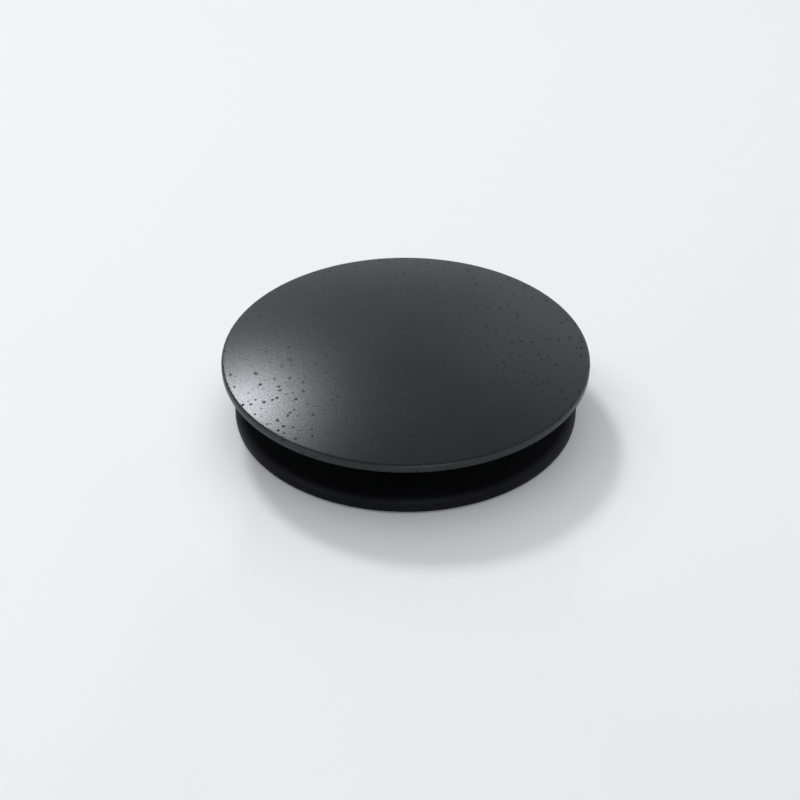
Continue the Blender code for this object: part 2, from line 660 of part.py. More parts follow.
def groove_walls(angle):
    """Lowest and highest places at an angle that a pin's clearance reaches as it runs along the groove."""
    tip = CAM_RADIUS - PIN_REACH
    lows = []
    highs = []
    for step in range(-CAM_WALL_SAMPLES, CAM_WALL_SAMPLES + 1):
        aside = CAM_GROOVE_HALF_WIDTH * step / CAM_WALL_SAMPLES
        spread = math.sqrt(CAM_GROOVE_HALF_WIDTH ** 2 - aside ** 2)
        height = groove_height(angle + aside / tip)
        lows.append(height - spread)
        highs.append(height + spread)
    return min(lows), max(highs)


def index_cam(axis):
    """Sleeve with a zig-zag groove round it, which the guide pins run in."""
    look = ((0.80, 0.79, 0.74), 0.45, 0)
    outline = ring(ROD_HOLE, CAM_RADIUS, CAM_BOTTOM, CAM_TOP)
    cam = turned_piece("index_cam", outline, CAM_BOTTOM, look, axis)
    floor = CAM_RADIUS - PIN_REACH - CAM_FLOOR_CLEARANCE
    shape = turned(ring(floor, CAM_RADIUS + OVERRUN, -TRAVEL, TRAVEL), 0, CAM_STEPS)
    for point in shape.verts:
        low, high = groove_walls(math.atan2(point.co.y, point.co.x))
        point.co.z = low if point.co.z < 0 else high
    combine(cam, "DIFFERENCE", add_cutter("cam_groove", shape, PIN_HEIGHT))


def cartridge(carriage, cam_axis):
    """Barrel with its bush, plug, pins, cam and washer."""
    barrel = turned_piece(
        "cartridge_barrel", ring(BARREL_BORE, BARREL_RADIUS, BARREL_BOTTOM, BARREL_TOP),
        BARREL_BOTTOM, ((0.66, 0.50, 0.24), 0.28, 1),
    )
    hole = add_cutter("pin_hole", cylinder(PIN_RADIUS + GAP, 2 * (BARREL_RADIUS + OVERRUN)), PIN_HEIGHT)
    hole.rotation_euler.y = math.tau / 4
    combine(barrel, "DIFFERENCE", hole)
    pin_tip = CAM_RADIUS - PIN_REACH
    for name, side in (("guide_pin_left", -1), ("guide_pin_right", 1)):
        pin = add_piece(
            name, cylinder(PIN_RADIUS, BARREL_RADIUS - pin_tip, SMALL_STEPS // 2), PIN_HEIGHT,
            ((0.60, 0.60, 0.62), 0.25, 1),
        )
        pin.rotation_euler.y = math.tau / 4
        pin.location.x = side * (BARREL_RADIUS + pin_tip) / 2

    groove = ROD_HOLE + BUSH_GROOVE_DEPTH
    turned_piece(
        "guide_bush",
        [
            (ROD_HOLE, BUSH_TOP),
            (BARREL_RADIUS, BUSH_TOP),
            (BARREL_RADIUS, BUSH_FLANGE_BOTTOM),
            (BARREL_BORE - GAP, BUSH_FLANGE_BOTTOM),
            (BARREL_BORE - GAP, BUSH_BOTTOM),
            (ROD_HOLE, BUSH_BOTTOM),
            (ROD_HOLE, BUSH_GROOVE_BOTTOM),
            (groove, BUSH_GROOVE_BOTTOM),
            (groove, BUSH_GROOVE_TOP),
            (ROD_HOLE, BUSH_GROOVE_TOP),
        ],
        BUSH_BOTTOM, ((0.80, 0.79, 0.74), 0.45, 0), None, SMALL_STEPS,
    )
    seal_height = (BUSH_GROOVE_TOP + BUSH_GROOVE_BOTTOM) / 2
    turned_piece(
        "rod_seal", circle(ROD_HOLE + ROD_SEAL_RADIUS, seal_height, ROD_SEAL_RADIUS),
        seal_height, ((0.012, 0.012, 0.012), 0.6, 0), None, SMALL_STEPS,
    )
    index_cam(cam_axis)
    turned_piece(
        "thrust_washer", ring(ROD_HOLE, CAM_RADIUS, THRUST_WASHER_BOTTOM, THRUST_WASHER_TOP),
        THRUST_WASHER_BOTTOM, ((0.60, 0.60, 0.62), 0.25, 1), carriage, SMALL_STEPS,
    )
    turned_piece(
        "end_plug",
        [
            (0, PLUG_TOP + PLUG_SPIGOT_HEIGHT),
            (PLUG_SPIGOT_RADIUS, PLUG_TOP + PLUG_SPIGOT_HEIGHT),
            (PLUG_SPIGOT_RADIUS, PLUG_TOP),
            (BARREL_BORE - GAP, PLUG_TOP),
            (BARREL_BORE - GAP, PLUG_FLANGE_TOP),
            (BARREL_RADIUS, PLUG_FLANGE_TOP),
            (BARREL_RADIUS, PLUG_BOTTOM),
            (STUD_RADIUS, PLUG_BOTTOM),
            (STUD_RADIUS, STUD_BOTTOM + ROD_CHAMFER),
            (STUD_RADIUS - ROD_CHAMFER, STUD_BOTTOM),
            (0, STUD_BOTTOM),
        ],
        STUD_BOTTOM, ((0.66, 0.50, 0.24), 0.28, 1), None, SMALL_STEPS,
    )
    stud_hole = STUD_RADIUS + GAP
    washer_bottom = STUD_WASHER_TOP - STUD_WASHER_THICKNESS
    turned_piece(
        "stud_washer", ring(stud_hole, STUD_WASHER_RADIUS, washer_bottom, STUD_WASHER_TOP),
        washer_bottom, ((0.60, 0.60, 0.62), 0.25, 1), None, SMALL_STEPS,
    )
    plain_nut(
        "stud_nut", STUD_NUT_FLATS, stud_hole, STUD_NUT_TOP, STUD_NUT_HEIGHT, ((0.62, 0.46, 0.20), 0.3, 1)
    )


def spring_line():
    """Places along the spring's wire, closer at both ends, as angle and height above its foot."""
    rise = SPRING_LENGTH - 2 * SPRING_WIRE_RADIUS
    middle_pitch = (rise - 2 * SPRING_END_PITCH) / (SPRING_TURNS - 2)
    places = []
    for step in range(SPRING_TURNS * SPRING_POINTS_PER_TURN + 1):
        turns = step / SPRING_POINTS_PER_TURN
        low = min(turns, 1) * SPRING_END_PITCH
        between = min(max(turns - 1, 0), SPRING_TURNS - 2) * middle_pitch
        high = max(turns - (SPRING_TURNS - 1), 0) * SPRING_END_PITCH
        places.append((math.tau * turns, SPRING_WIRE_RADIUS + low + between + high))
    return places


def return_spring():
    """One unbroken wire, shown as long as it is with the cap up."""
    wire = bpy.data.curves.new("return_spring", "CURVE")
    wire.dimensions = "3D"
    wire.bevel_depth = SPRING_WIRE_RADIUS
    wire.bevel_resolution = 1
    wire.use_fill_caps = True
    spline = wire.splines.new("POLY")
    places = spring_line()
    spline.points.add(len(places) - 1)
    for point, (angle, height) in zip(spline.points, places):
        point.co = (SPRING_RADIUS * math.cos(angle), SPRING_RADIUS * math.sin(angle), height, 1)
    spring = bpy.data.objects.new("return_spring", wire)
    bpy.context.scene.collection.objects.link(spring)
    spring.location.z = SPRING_BOTTOM
    wire.materials.append(finish("return_spring", (0.55, 0.55, 0.57), 0.25, 1))
    points = [Vector(point.co[:3]) for point in spline.points]
    apart = SPRING_POINTS_PER_TURN // 2
    nearest = min(
        (first - second).length
        for number, first in enumerate(points)
        for second in points[number + apart:]
    )
    print(f"return_spring least gap to itself: {(nearest - 2 * SPRING_WIRE_RADIUS) * 1000:.2f} mm")


def main():
    for old in list(bpy.data.objects):
        bpy.data.objects.remove(old)
    carriage = add_axis("pop_axis", THRUST_WASHER_TOP)
    cap_axis = add_axis("cap_axis", CAP_LIP_BOTTOM, carriage)
    cam_axis = add_axis("cam_axis", CAM_BOTTOM, carriage)
    clamp_axis = add_axis("clamp_axis", CONE_TOP)
    nut_axis = add_axis("nut_axis", LOCK_NUT_BOTTOM, clamp_axis)
    drain_body()
    clamping_pieces(clamp_axis, nut_axis)
    tailpiece()
    stopper_cap(cap_axis)
    seal_and_carrier(cap_axis)
    rod_and_fasteners(cap_axis)
    cartridge(carriage, cam_axis)
    return_spring()


main()
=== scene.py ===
# Looks for the pop-up drain, with its cap up. Sizes are in millimetres until a mesh is made.
import math

import bmesh
import bpy
from mathutils import Matrix, Vector


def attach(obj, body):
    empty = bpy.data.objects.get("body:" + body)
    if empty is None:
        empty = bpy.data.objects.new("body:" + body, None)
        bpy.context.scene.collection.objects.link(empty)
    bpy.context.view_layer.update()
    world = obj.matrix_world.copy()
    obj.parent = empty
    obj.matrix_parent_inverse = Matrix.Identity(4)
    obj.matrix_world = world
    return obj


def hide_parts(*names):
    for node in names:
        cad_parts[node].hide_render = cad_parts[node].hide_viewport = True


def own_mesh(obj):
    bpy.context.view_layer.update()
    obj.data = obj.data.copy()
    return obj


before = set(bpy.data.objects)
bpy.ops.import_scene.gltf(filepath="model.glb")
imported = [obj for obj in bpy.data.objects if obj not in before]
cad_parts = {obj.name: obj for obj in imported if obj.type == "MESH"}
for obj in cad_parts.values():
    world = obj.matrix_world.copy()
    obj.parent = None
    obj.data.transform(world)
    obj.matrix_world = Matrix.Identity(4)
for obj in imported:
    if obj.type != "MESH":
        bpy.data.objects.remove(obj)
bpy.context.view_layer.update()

mm = 0.001
tiny = 0.000002  # how near a vertex lies to the place it is looked for at
weldNear, weldFar = 0.0000001, 0.000001  # how near to each other vertices lie that become one


# Helpers for meshes

def place(radius, height, angle=0.0):
    return Vector((radius * mm * math.cos(angle), radius * mm * math.sin(angle), height * mm))


def fromAxis(vert):
    return math.hypot(vert.co.x, vert.co.y)


def spinRound(bm, steps):
    # the whole outline goes once round the drain's axis
    bmesh.ops.spin(bm, geom=bm.verts[:] + bm.edges[:], cent=(0, 0, 0), axis=(0, 0, 1),
                   angle=math.tau, steps=steps, use_merge=True)
    bmesh.ops.remove_doubles(bm, verts=bm.verts, dist=weldNear)
    bmesh.ops.recalc_face_normals(bm, faces=bm.faces)


def turnOutline(points, steps):
    # points are (radius, height); the outline closes unless it starts and ends on the axis
    bm = bmesh.new()
    verts = [bm.verts.new(place(radius, height)) for radius, height in points]
    for first, second in zip(verts, verts[1:]):
        bm.edges.new((first, second))
    if points[0][0] > 0:
        bm.edges.new((verts[-1], verts[0]))
    spinRound(bm, steps)
    return bm


def turnTube(bore, radius, top, bottom, steps):
    return turnOutline([(bore, top), (radius, top), (radius, bottom), (bore, bottom)], steps)


def roundEdges(bm, edges, size, segments):
    bmesh.ops.bevel(bm, geom=edges, offset=size * mm, offset_type="OFFSET", affect="EDGES",
                    segments=segments, profile=0.5, material=-1, clamp_overlap=True)


def roundRings(bm, rings):
    # each ring is a turned edge's radius and height, the size of its rounding and that one's segments
    for radius, height, size, segments in rings:
        ring = [edge for edge in bm.edges if all(
            abs(fromAxis(vert) - radius * mm) < tiny and abs(vert.co.z - height * mm) < tiny
            for vert in edge.verts)]
        if not ring:
            raise ValueError(f"no ring at radius {radius}, height {height}")
        roundEdges(bm, ring, size, segments)


def roundedBar(size, distance, height, angle, picked, edge, segments):
    # a block that points away from the axis; picked says which of its edges are rounded
    bm = bmesh.new()
    bmesh.ops.create_cube(bm, size=mm)
    bmesh.ops.scale(bm, vec=size, verts=bm.verts)
    roundEdges(bm, [side for side in bm.edges if picked(side)], edge, segments)
    bmesh.ops.translate(bm, vec=(distance * mm, 0, height * mm), verts=bm.verts)
    bmesh.ops.rotate(bm, cent=(0, 0, 0), matrix=Matrix.Rotation(angle, 3, "Z"), verts=bm.verts)
    return bm


def runsOutward(edge):
    return abs(edge.verts[0].co.x - edge.verts[1].co.x) > tiny


def liesBelow(edge):
    return all(vert.co.z < 0 for vert in edge.verts)


def plainMesh(name, bm):
    mesh = bpy.data.meshes.new(name)
    bm.to_mesh(mesh)
    bm.free()
    thing = bpy.data.objects.new(name, mesh)
    bpy.context.scene.collection.objects.link(thing)
    return thing


def cutWith(thing, operation, other):
    # a Boolean modifier, applied at once, and the cutter goes
    step = thing.modifiers.new(other.name, "BOOLEAN")
    step.operation = operation
    step.solver = "EXACT"
    step.object = other
    bpy.context.view_layer.update()
    made = bpy.data.meshes.new_from_object(thing.evaluated_get(bpy.context.evaluated_depsgraph_get()))
    thing.modifiers.clear()
    thing.data = made
    bpy.data.objects.remove(other)


def meshOf(thing):
    # takes an object's mesh back into a bmesh and removes the object
    bm = bmesh.new()
    bm.from_mesh(thing.data)
    bpy.data.objects.remove(thing)
    return bm


def joinInto(bm, other):
    mesh = bpy.data.meshes.new("joined")
    other.to_mesh(mesh)
    other.free()
    bm.from_mesh(mesh)
    bpy.data.meshes.remove(mesh)


def finishPiece(name, bm, body, nodes, material, sharp=35):
    mesh = bpy.data.meshes.new(name)
    bm.to_mesh(mesh)
    bm.free()
    mesh.shade_smooth()
    mesh.set_sharp_from_angle(angle=math.radians(sharp))
    piece = bpy.data.objects.new(name, mesh)
    bpy.context.scene.collection.objects.link(piece)
    mesh.materials.append(material)
    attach(piece, body)
    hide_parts(*nodes)
    print(f"{name}: {sum(len(face.vertices) - 2 for face in mesh.polygons)} triangles")
    return piece


hexLook = {"overrun": 1.0, "cone": 30, "sharp": 24, "flat": 0.5}  # a length, then angles in degrees


def hexBlock(s, cornerAngle=0.0):
    # a hexagonal bar, cut to a turned ring whose ends are coned off, with its outer edges rounded
    top, bottom, bore, chamfer = s["top"], s["bottom"], s["bore"], s["boreChamfer"]
    corner = s["flats"] / 2 / math.cos(math.pi / 6)
    reach = corner + hexLook["overrun"]
    drop = (reach - s["chamferRadius"]) * math.tan(math.radians(hexLook["cone"]))
    bm = bmesh.new()
    bmesh.ops.create_cone(bm, cap_ends=True, segments=6, radius1=corner * mm, radius2=corner * mm,
                          depth=(top - bottom + 2 * hexLook["overrun"]) * mm)
    bmesh.ops.rotate(bm, cent=(0, 0, 0), matrix=Matrix.Rotation(cornerAngle - math.pi / 6, 3, "Z"),
                     verts=bm.verts)
    bmesh.ops.translate(bm, vec=(0, 0, (top + bottom) / 2 * mm), verts=bm.verts)
    block = plainMesh("hexBar", bm)
    outline = [
        (bore, top - chamfer), (bore + chamfer, top), (s["chamferRadius"], top), (reach, top - drop),
        (reach, bottom + drop), (s["chamferRadius"], bottom), (bore + chamfer, bottom),
        (bore, bottom + chamfer),
    ]
    cutWith(block, "INTERSECT", plainMesh("hexRing", turnOutline(outline, s["steps"])))
    bm = meshOf(block)
    bmesh.ops.remove_doubles(bm, verts=bm.verts, dist=weldFar)
    bmesh.ops.dissolve_limit(bm, angle_limit=math.radians(hexLook["flat"]), verts=bm.verts, edges=bm.edges)
    outside = [edge for edge in bm.edges if len(edge.link_faces) == 2
               and edge.calc_face_angle(0) > math.radians(hexLook["sharp"])
               and min(fromAxis(vert) for vert in edge.verts) > (bore + s["boreBand"]) * mm]
    roundEdges(bm, outside, s["edge"], s["edgeSegments"])
    return bm


# one flank of the pipe thread, from its foot: the share of its depth, and of the pitch from the crest
flankShares = ((0, 0.47), (0.12, 0.40), (0.90, 0.09), (1, 0.03))


def threadProfile(root, depth, embed):
    # depth and embed are below zero for a thread inside a bore
    lower = [(root - embed, -flankShares[0][1])]
    lower += [(root + deep * depth, -along) for deep, along in flankShares]
    return lower + [(radius, -along) for radius, along in reversed(lower)]


def threadRidge(outline, pitch, phase, turns, bottom, top, steps):
    # outline is (radius, share of the pitch); it winds up the axis and is cut level at both ends
    bm = bmesh.new()
    below = bottom - 1.5 * pitch  # it starts well below its lower end, in phase
    start = below + (phase - below) % pitch - pitch
    verts = [bm.verts.new(place(radius, start + share * pitch)) for radius, share in outline]
    for first, second in zip(verts, verts[1:] + verts[:1]):
        bm.edges.new((first, second))
    bmesh.ops.spin(bm, geom=bm.verts[:] + bm.edges[:], cent=(0, 0, 0), axis=(0, 0, 1),
                   angle=math.tau, dvec=(0, 0, pitch * mm / steps), steps=steps)
    oneTurn = bm.verts[:] + bm.edges[:] + bm.faces[:]
    for number in range(1, turns + 4):  # the other turns, with some to spare, are copies, welded below
        copied = bmesh.ops.duplicate(bm, geom=oneTurn)["geom"]
        bmesh.ops.translate(bm, vec=(0, 0, number * pitch * mm),
                            verts=[part for part in copied if isinstance(part, bmesh.types.BMVert)])
    bmesh.ops.remove_doubles(bm, verts=bm.verts, dist=weldFar)
    for height, upward in ((bottom, False), (top, True)):
        bmesh.ops.bisect_plane(bm, geom=bm.verts[:] + bm.edges[:] + bm.faces[:], dist=weldNear,
                               plane_co=(0, 0, height * mm), plane_no=(0, 0, 1),
                               clear_outer=upward, clear_inner=not upward)
    bmesh.ops.holes_fill(bm, edges=[edge for edge in bm.edges if edge.is_boundary], sides=0)
    bmesh.ops.recalc_face_normals(bm, faces=bm.faces)
    return bm


# Helpers for materials

def newMaterial(name):
    material = bpy.data.materials.new(name)
    material.use_nodes = True
    nodes, links = material.node_tree.nodes, material.node_tree.links
    return material, nodes, links, nodes["Principled BSDF"]


def here(nodes):
    return nodes.new("ShaderNodeTexCoord").outputs["Object"]


def noise(nodes, links, scale, detail, stretch=None):
    # noise on Object coordinates, one cell being about 1/scale metres; stretch scales the three axes
    where = here(nodes)
    if stretch:
        mapping = nodes.new("ShaderNodeMapping")
        mapping.inputs["Scale"].default_value = stretch
        links.new(where, mapping.inputs["Vector"])
        where = mapping.outputs["Vector"]
    texture = nodes.new("ShaderNodeTexNoise")
    texture.inputs["Scale"].default_value = scale
    texture.inputs["Detail"].default_value = detail
    links.new(where, texture.inputs["Vector"])
    return texture.outputs["Fac"]


def spread(nodes, links, source, low, high, first, last, easing="LINEAR"):
    # source from low to high becomes first to last
    node = nodes.new("ShaderNodeMapRange")
    node.interpolation_type = easing
    for socket, value in zip(("From Min", "From Max", "To Min", "To Max"), (low, high, first, last)):
        node.inputs[socket].default_value = value
    links.new(source, node.inputs["Value"])
    return node.outputs["Result"]


def patches(nodes, links, pattern, first=0, last=1, stretch=None):
    # pattern is a noise's scale and detail, then the values of it that become first and last
    scale, detail, low, high = pattern
    return spread(nodes, links, noise(nodes, links, scale, detail, stretch), low, high, first, last)


def combine(nodes, links, operation, first, second):
    node = nodes.new("ShaderNodeMath")
    node.operation = operation
    links.new(first, node.inputs[0])
    if isinstance(second, (int, float)):
        node.inputs[1].default_value = second
    else:
        links.new(second, node.inputs[1])
    return node.outputs["Value"]


pitShape = {"floor": 0.5, "fade": 0.05}  # its flat floor's share of its radius, and its edge's softness


def pits(nodes, links, scale, size, share):
    # round pits, size being their radius in cells and share the part of the cells that have one
    texture = nodes.new("ShaderNodeTexVoronoi")
    texture.inputs["Scale"].default_value = scale
    links.new(here(nodes), texture.inputs["Vector"])
    split = nodes.new("ShaderNodeSeparateColor")
    links.new(texture.outputs["Color"], split.inputs["Color"])
    dips = spread(nodes, links, texture.outputs["Distance"], size, size * pitShape["floor"], 0, 1)
    chosen = spread(nodes, links, split.outputs["Red"], 1 - share, 1 - share + pitShape["fade"], 0, 1)
    return combine(nodes, links, "MULTIPLY", dips, chosen)


def tint(nodes, links, share, first, second):
    # share 0 gives first and 1 gives second; each is a colour or another colour's socket
    node = nodes.new("ShaderNodeMix")
    node.data_type = "RGBA"
    links.new(share, node.inputs["Factor"])
    for socket, colour in ((node.inputs[6], first), (node.inputs[7], second)):
        if isinstance(colour, tuple):
            socket.default_value = (*colour, 1)
        else:
            links.new(colour, socket)
    return node.outputs[2]


def mixShaders(nodes, links, share, first, second):
    mix = nodes.new("ShaderNodeMixShader")
    for source, socket in zip((share, first, second), mix.inputs):
        links.new(source, socket)
    return mix.outputs["Shader"]


def grain(nodes, links, shader, height, strength, distance):
    bump = nodes.new("ShaderNodeBump")
    bump.inputs["Strength"].default_value = strength
    bump.inputs["Distance"].default_value = distance
    links.new(height, bump.inputs["Height"])
    links.new(bump.outputs["Normal"], shader.inputs["Normal"])


# Finishes. A pattern is a noise's scale and detail, or those and the values of it that count, as in patches

# in each look the pit colour is painted shade for the inside of the coating's pits
coatingLook = {
    "dark": (0.0096, 0.0102, 0.0125), "pale": (0.0134, 0.0141, 0.0168), "pitShade": (0.0008, 0.0008, 0.0010),
    "smooth": 0.268, "rough": 0.286, "pitRough": 0.40, "specular": 0.5, "grainStrength": 0.05,
    "grainDepth": 0.00002, "pits": (660, 0.235, 0.85),
}
# painted shade: the body's colours are darker than the cap's, for the flange that sits in the cap's shade;
# the barrel below the flange gets a paler tone from the settings below
shadedBodyLook = {
    "dark": (0.0040, 0.0042, 0.0050), "pale": (0.0062, 0.0065, 0.0076), "pitShade": (0.0020, 0.0021, 0.0024),
    "smooth": 0.36, "rough": 0.44, "pitRough": 0.10, "specular": 0.10, "grainStrength": 0.14,
    "grainDepth": 0.00002, "pits": (660, 0.19, 0.65),
}
tubeLook = {
    "dark": (0.0074, 0.0078, 0.0092), "pale": (0.0106, 0.0111, 0.0128), "pitShade": (0.0030, 0.0031, 0.0035),
    "smooth": 0.31, "rough": 0.37, "pitRough": 0.15, "specular": 0.40, "grainStrength": 0.12,
    "grainDepth": 0.00002, "pits": (660, 0.19, 0.65),
}
coatingPatterns = {
    "cloud": (55, 3, 0.35, 0.65), "sheen": (2200, 2, 0.3, 0.7), "powder": (3200, 2), "pitDepth": 4,
    "finePits": (1150, 0.20, 0.7), "finePitStrength": 0.6,
}
# where the flange's painted shade ends, the barrel's paler tone below it, and the rubbed colour of the worn
# crests
flangeShadeAndWear = {
    "from": 20.6, "to": 20.92, "below": -1, "fade": 1, "barrel": (0.0115, 0.0117, 0.0125),
    "rubbed": (0.038, 0.033, 0.026), "patch": (130, 3, 0.44, 0.66), "least": 0.15,
}


def endFlangeShadeAndWearCrests(nodes, links, base, shadeAndWear):
    # the body above the barrel keeps its darker colour, painted shade for the flange under the cap; the
    # barrel under the flange gets a paler tone, and the thread's crests are rubbed
    flat = nodes.new("ShaderNodeVectorMath")
    flat.operation = "MULTIPLY"
    flat.inputs[1].default_value = (1, 1, 0)
    links.new(here(nodes), flat.inputs[0])
    reach = nodes.new("ShaderNodeVectorMath")
    reach.operation = "LENGTH"
    links.new(flat.outputs["Vector"], reach.inputs[0])
    crest = spread(nodes, links, reach.outputs["Value"], shadeAndWear["from"] * mm, shadeAndWear["to"] * mm, 0, 1)
    depth = nodes.new("ShaderNodeSeparateXYZ")
    links.new(here(nodes), depth.inputs[0])
    below = spread(nodes, links, depth.outputs["Z"], shadeAndWear["below"] * mm,
                   (shadeAndWear["below"] - shadeAndWear["fade"]) * mm, 0, 1)
    base = tint(nodes, links, below, base, shadeAndWear["barrel"])
    worn = combine(nodes, links, "MULTIPLY", combine(nodes, links, "MULTIPLY", crest, below),
                   patches(nodes, links, shadeAndWear["patch"], shadeAndWear["least"], 1))
    return tint(nodes, links, worn, base, shadeAndWear["rubbed"])


def coatingMaterial(name, look, s, shadeAndWear=None):
    # satin black coating: slow cloudiness, fine round pits and a powdery grain; each pit's colour is darker,
    # painted shade inside the pit
    material, nodes, links, shader = newMaterial(name)
    cloud = patches(nodes, links, s["cloud"])
    deep = pits(nodes, links, *look["pits"])
    fine = combine(nodes, links, "MULTIPLY", pits(nodes, links, *s["finePits"]), s["finePitStrength"])
    pitted = combine(nodes, links, "MAXIMUM", deep, fine)
    base = tint(nodes, links, cloud, look["dark"], look["pale"])
    # painted shade: the pits take a darker colour, as the shade inside them would be; their extra roughness
    # and their dip are real
    base = tint(nodes, links, pitted, base, look["pitShade"])
    if shadeAndWear:
        base = endFlangeShadeAndWearCrests(nodes, links, base, shadeAndWear)
    links.new(base, shader.inputs["Base Color"])
    soft = patches(nodes, links, s["sheen"], look["smooth"], look["rough"])
    soft = combine(nodes, links, "ADD", soft, combine(nodes, links, "MULTIPLY", pitted, look["pitRough"]))
    links.new(soft, shader.inputs["Roughness"])
    shader.inputs["Specular IOR Level"].default_value = look["specular"]
    powder = combine(nodes, links, "SUBTRACT", noise(nodes, links, *s["powder"]),
                     combine(nodes, links, "MULTIPLY", deep, s["pitDepth"]))
    grain(nodes, links, shader, powder, look["grainStrength"], look["grainDepth"])
    return material


rubberLook = {
    "dark": (0.010, 0.010, 0.0105), "pale": (0.024, 0.024, 0.025), "bloom": (120, 4, 0.42, 0.68),
    "smooth": 0.52, "rough": 0.70, "grain": (2600, 3), "grainStrength": 0.25, "grainDepth": 0.00003,
}


def rubberMaterial(name, look):
    # moulded black rubber, a little paler where it has bloomed
    material, nodes, links, shader = newMaterial(name)
    bloom = patches(nodes, links, look["bloom"])
    links.new(tint(nodes, links, bloom, look["dark"], look["pale"]), shader.inputs["Base Color"])
    links.new(spread(nodes, links, bloom, 0, 1, look["smooth"], look["rough"]), shader.inputs["Roughness"])
    grain(nodes, links, shader, noise(nodes, links, *look["grain"]), look["grainStrength"],
          look["grainDepth"])
    return material


whitePlasticLook = {
    "pale": (0.80, 0.79, 0.74), "warm": (0.72, 0.70, 0.63), "smooth": 0.34, "rough": 0.46,
    "grainStrength": 0.08, "grainDepth": 0.00003,
}
blackPlasticLook = {
    "pale": (0.030, 0.030, 0.032), "warm": (0.020, 0.020, 0.021), "smooth": 0.40, "rough": 0.52,
    "grainStrength": 0.20, "grainDepth": 0.00003,
}
plasticPatterns = {
    "flow": (70, 3, 0.35, 0.65), "flowStretch": (1, 1, 2.5), "marks": (500, 2, 0.3, 0.7), "grain": (4200, 2),
}


def plasticMaterial(name, look, s):
    # moulded plastic with faint flow marks and a fine spark-eroded texture
    material, nodes, links, shader = newMaterial(name)
    flow = patches(nodes, links, s["flow"], stretch=s["flowStretch"])
    links.new(tint(nodes, links, flow, look["pale"], look["warm"]), shader.inputs["Base Color"])
    links.new(patches(nodes, links, s["marks"], look["smooth"], look["rough"]), shader.inputs["Roughness"])
    grain(nodes, links, shader, noise(nodes, links, *s["grain"]), look["grainStrength"], look["grainDepth"])
    return material


brassLook = {
    "bright": (0.70, 0.50, 0.22), "dull": (0.47, 0.32, 0.13), "smooth": 0.20, "rough": 0.36,
    "lines": (30, 30, 2600), "lineStrength": 0.12, "lineDepth": 0.00002,
}
steelLook = {
    "bright": (0.62, 0.62, 0.63), "dull": (0.44, 0.44, 0.45), "smooth": 0.18, "rough": 0.32,
    "lines": (40, 40, 3000), "lineStrength": 0.10, "lineDepth": 0.00001,
}
metalPatterns = {
    "tarnish": (110, 4, 0.38, 0.68), "tarnishRough": 0.08, "lineDetail": 2, "lineRange": (0.3, 0.7),
}


def metalMaterial(name, look, s):
    # turned metal: fine level tool lines, with slow tarnish and a few dull spots
    material, nodes, links, shader = newMaterial(name)
    shader.inputs["Metallic"].default_value = 1.0
    tarnish = patches(nodes, links, s["tarnish"])
    lines = noise(nodes, links, 1, s["lineDetail"], look["lines"])
    links.new(tint(nodes, links, tarnish, look["bright"], look["dull"]), shader.inputs["Base Color"])
    soft = combine(nodes, links, "ADD",
                   spread(nodes, links, lines, *s["lineRange"], look["smooth"], look["rough"]),
                   combine(nodes, links, "MULTIPLY", tarnish, s["tarnishRough"]))
    links.new(soft, shader.inputs["Roughness"])
    grain(nodes, links, shader, lines, look["lineStrength"], look["lineDepth"])
    return material


capCoating = coatingMaterial("capCoating", coatingLook, coatingPatterns)
bodyCoatingWithFlangeShade = coatingMaterial("bodyCoatingWithFlangeShade", shadedBodyLook, coatingPatterns, flangeShadeAndWear)
tubeCoating = coatingMaterial("tubeCoating", tubeLook, coatingPatterns)
blackRubber = rubberMaterial("blackRubber", rubberLook)
blackPlastic = plasticMaterial("blackPlastic", blackPlasticLook, plasticPatterns)
whitePlastic = plasticMaterial("whitePlastic", whitePlasticLook, plasticPatterns)
brass = metalMaterial("brass", brassLook, metalPatterns)
steel = metalMaterial("steel", steelLook, metalPatterns)
print("finishes made")


# Cap

capSizes = {
    "radius": 33.0, "domeTop": 14.9, "edgeTop": 11.9, "lipBottom": 10.4, "lipWidth": 1.4, "underside": 11.4,
    "bossRadius": 6.1, "bossBottom": 9.0, "holeRadius": 3.3, "holeTop": 13.0,
    "edgeRound": 0.42, "lipRound": 0.28, "innerRound": 0.2, "fillet": 0.3, "domeSteps": 44, "steps": 192,
}


def makeCap(s):
    bm = bmesh.new()
    rise = s["domeTop"] - s["edgeTop"]
    sphere = (s["radius"] ** 2 + rise ** 2) / (2 * rise)
    top = bm.verts.new(place(0, s["domeTop"]))
    swept = bmesh.ops.spin(bm, geom=[top], cent=(0, 0, (s["domeTop"] - sphere) * mm), axis=(0, 1, 0),
                           angle=math.asin(s["radius"] / sphere), steps=s["domeSteps"])
    last = [part for part in swept["geom_last"] if isinstance(part, bmesh.types.BMVert)][0]
    inner = s["radius"] - s["lipWidth"]
    for radius, height in (
        (s["radius"], s["lipBottom"]), (inner, s["lipBottom"]), (inner, s["underside"]),
        (s["bossRadius"], s["underside"]), (s["bossRadius"], s["bossBottom"]),
        (s["holeRadius"], s["bossBottom"]), (s["holeRadius"], s["holeTop"]), (0, s["holeTop"]),
    ):
        vert = bm.verts.new(place(radius, height))
        bm.edges.new((last, vert))
        last = vert
    spinRound(bm, s["steps"])
    roundRings(bm, (
        (s["radius"], s["edgeTop"], s["edgeRound"], 6), (s["radius"], s["lipBottom"], s["lipRound"], 4),
        (inner, s["lipBottom"], s["innerRound"], 3), (inner, s["underside"], s["fillet"], 3),
        (s["bossRadius"], s["underside"], s["fillet"], 3),
        (s["bossRadius"], s["bossBottom"], s["innerRound"], 3),
    ))
    finishPiece("cap", bm, "plunger", ["stopper_cap"], capCoating)


makeCap(capSizes)


# Body

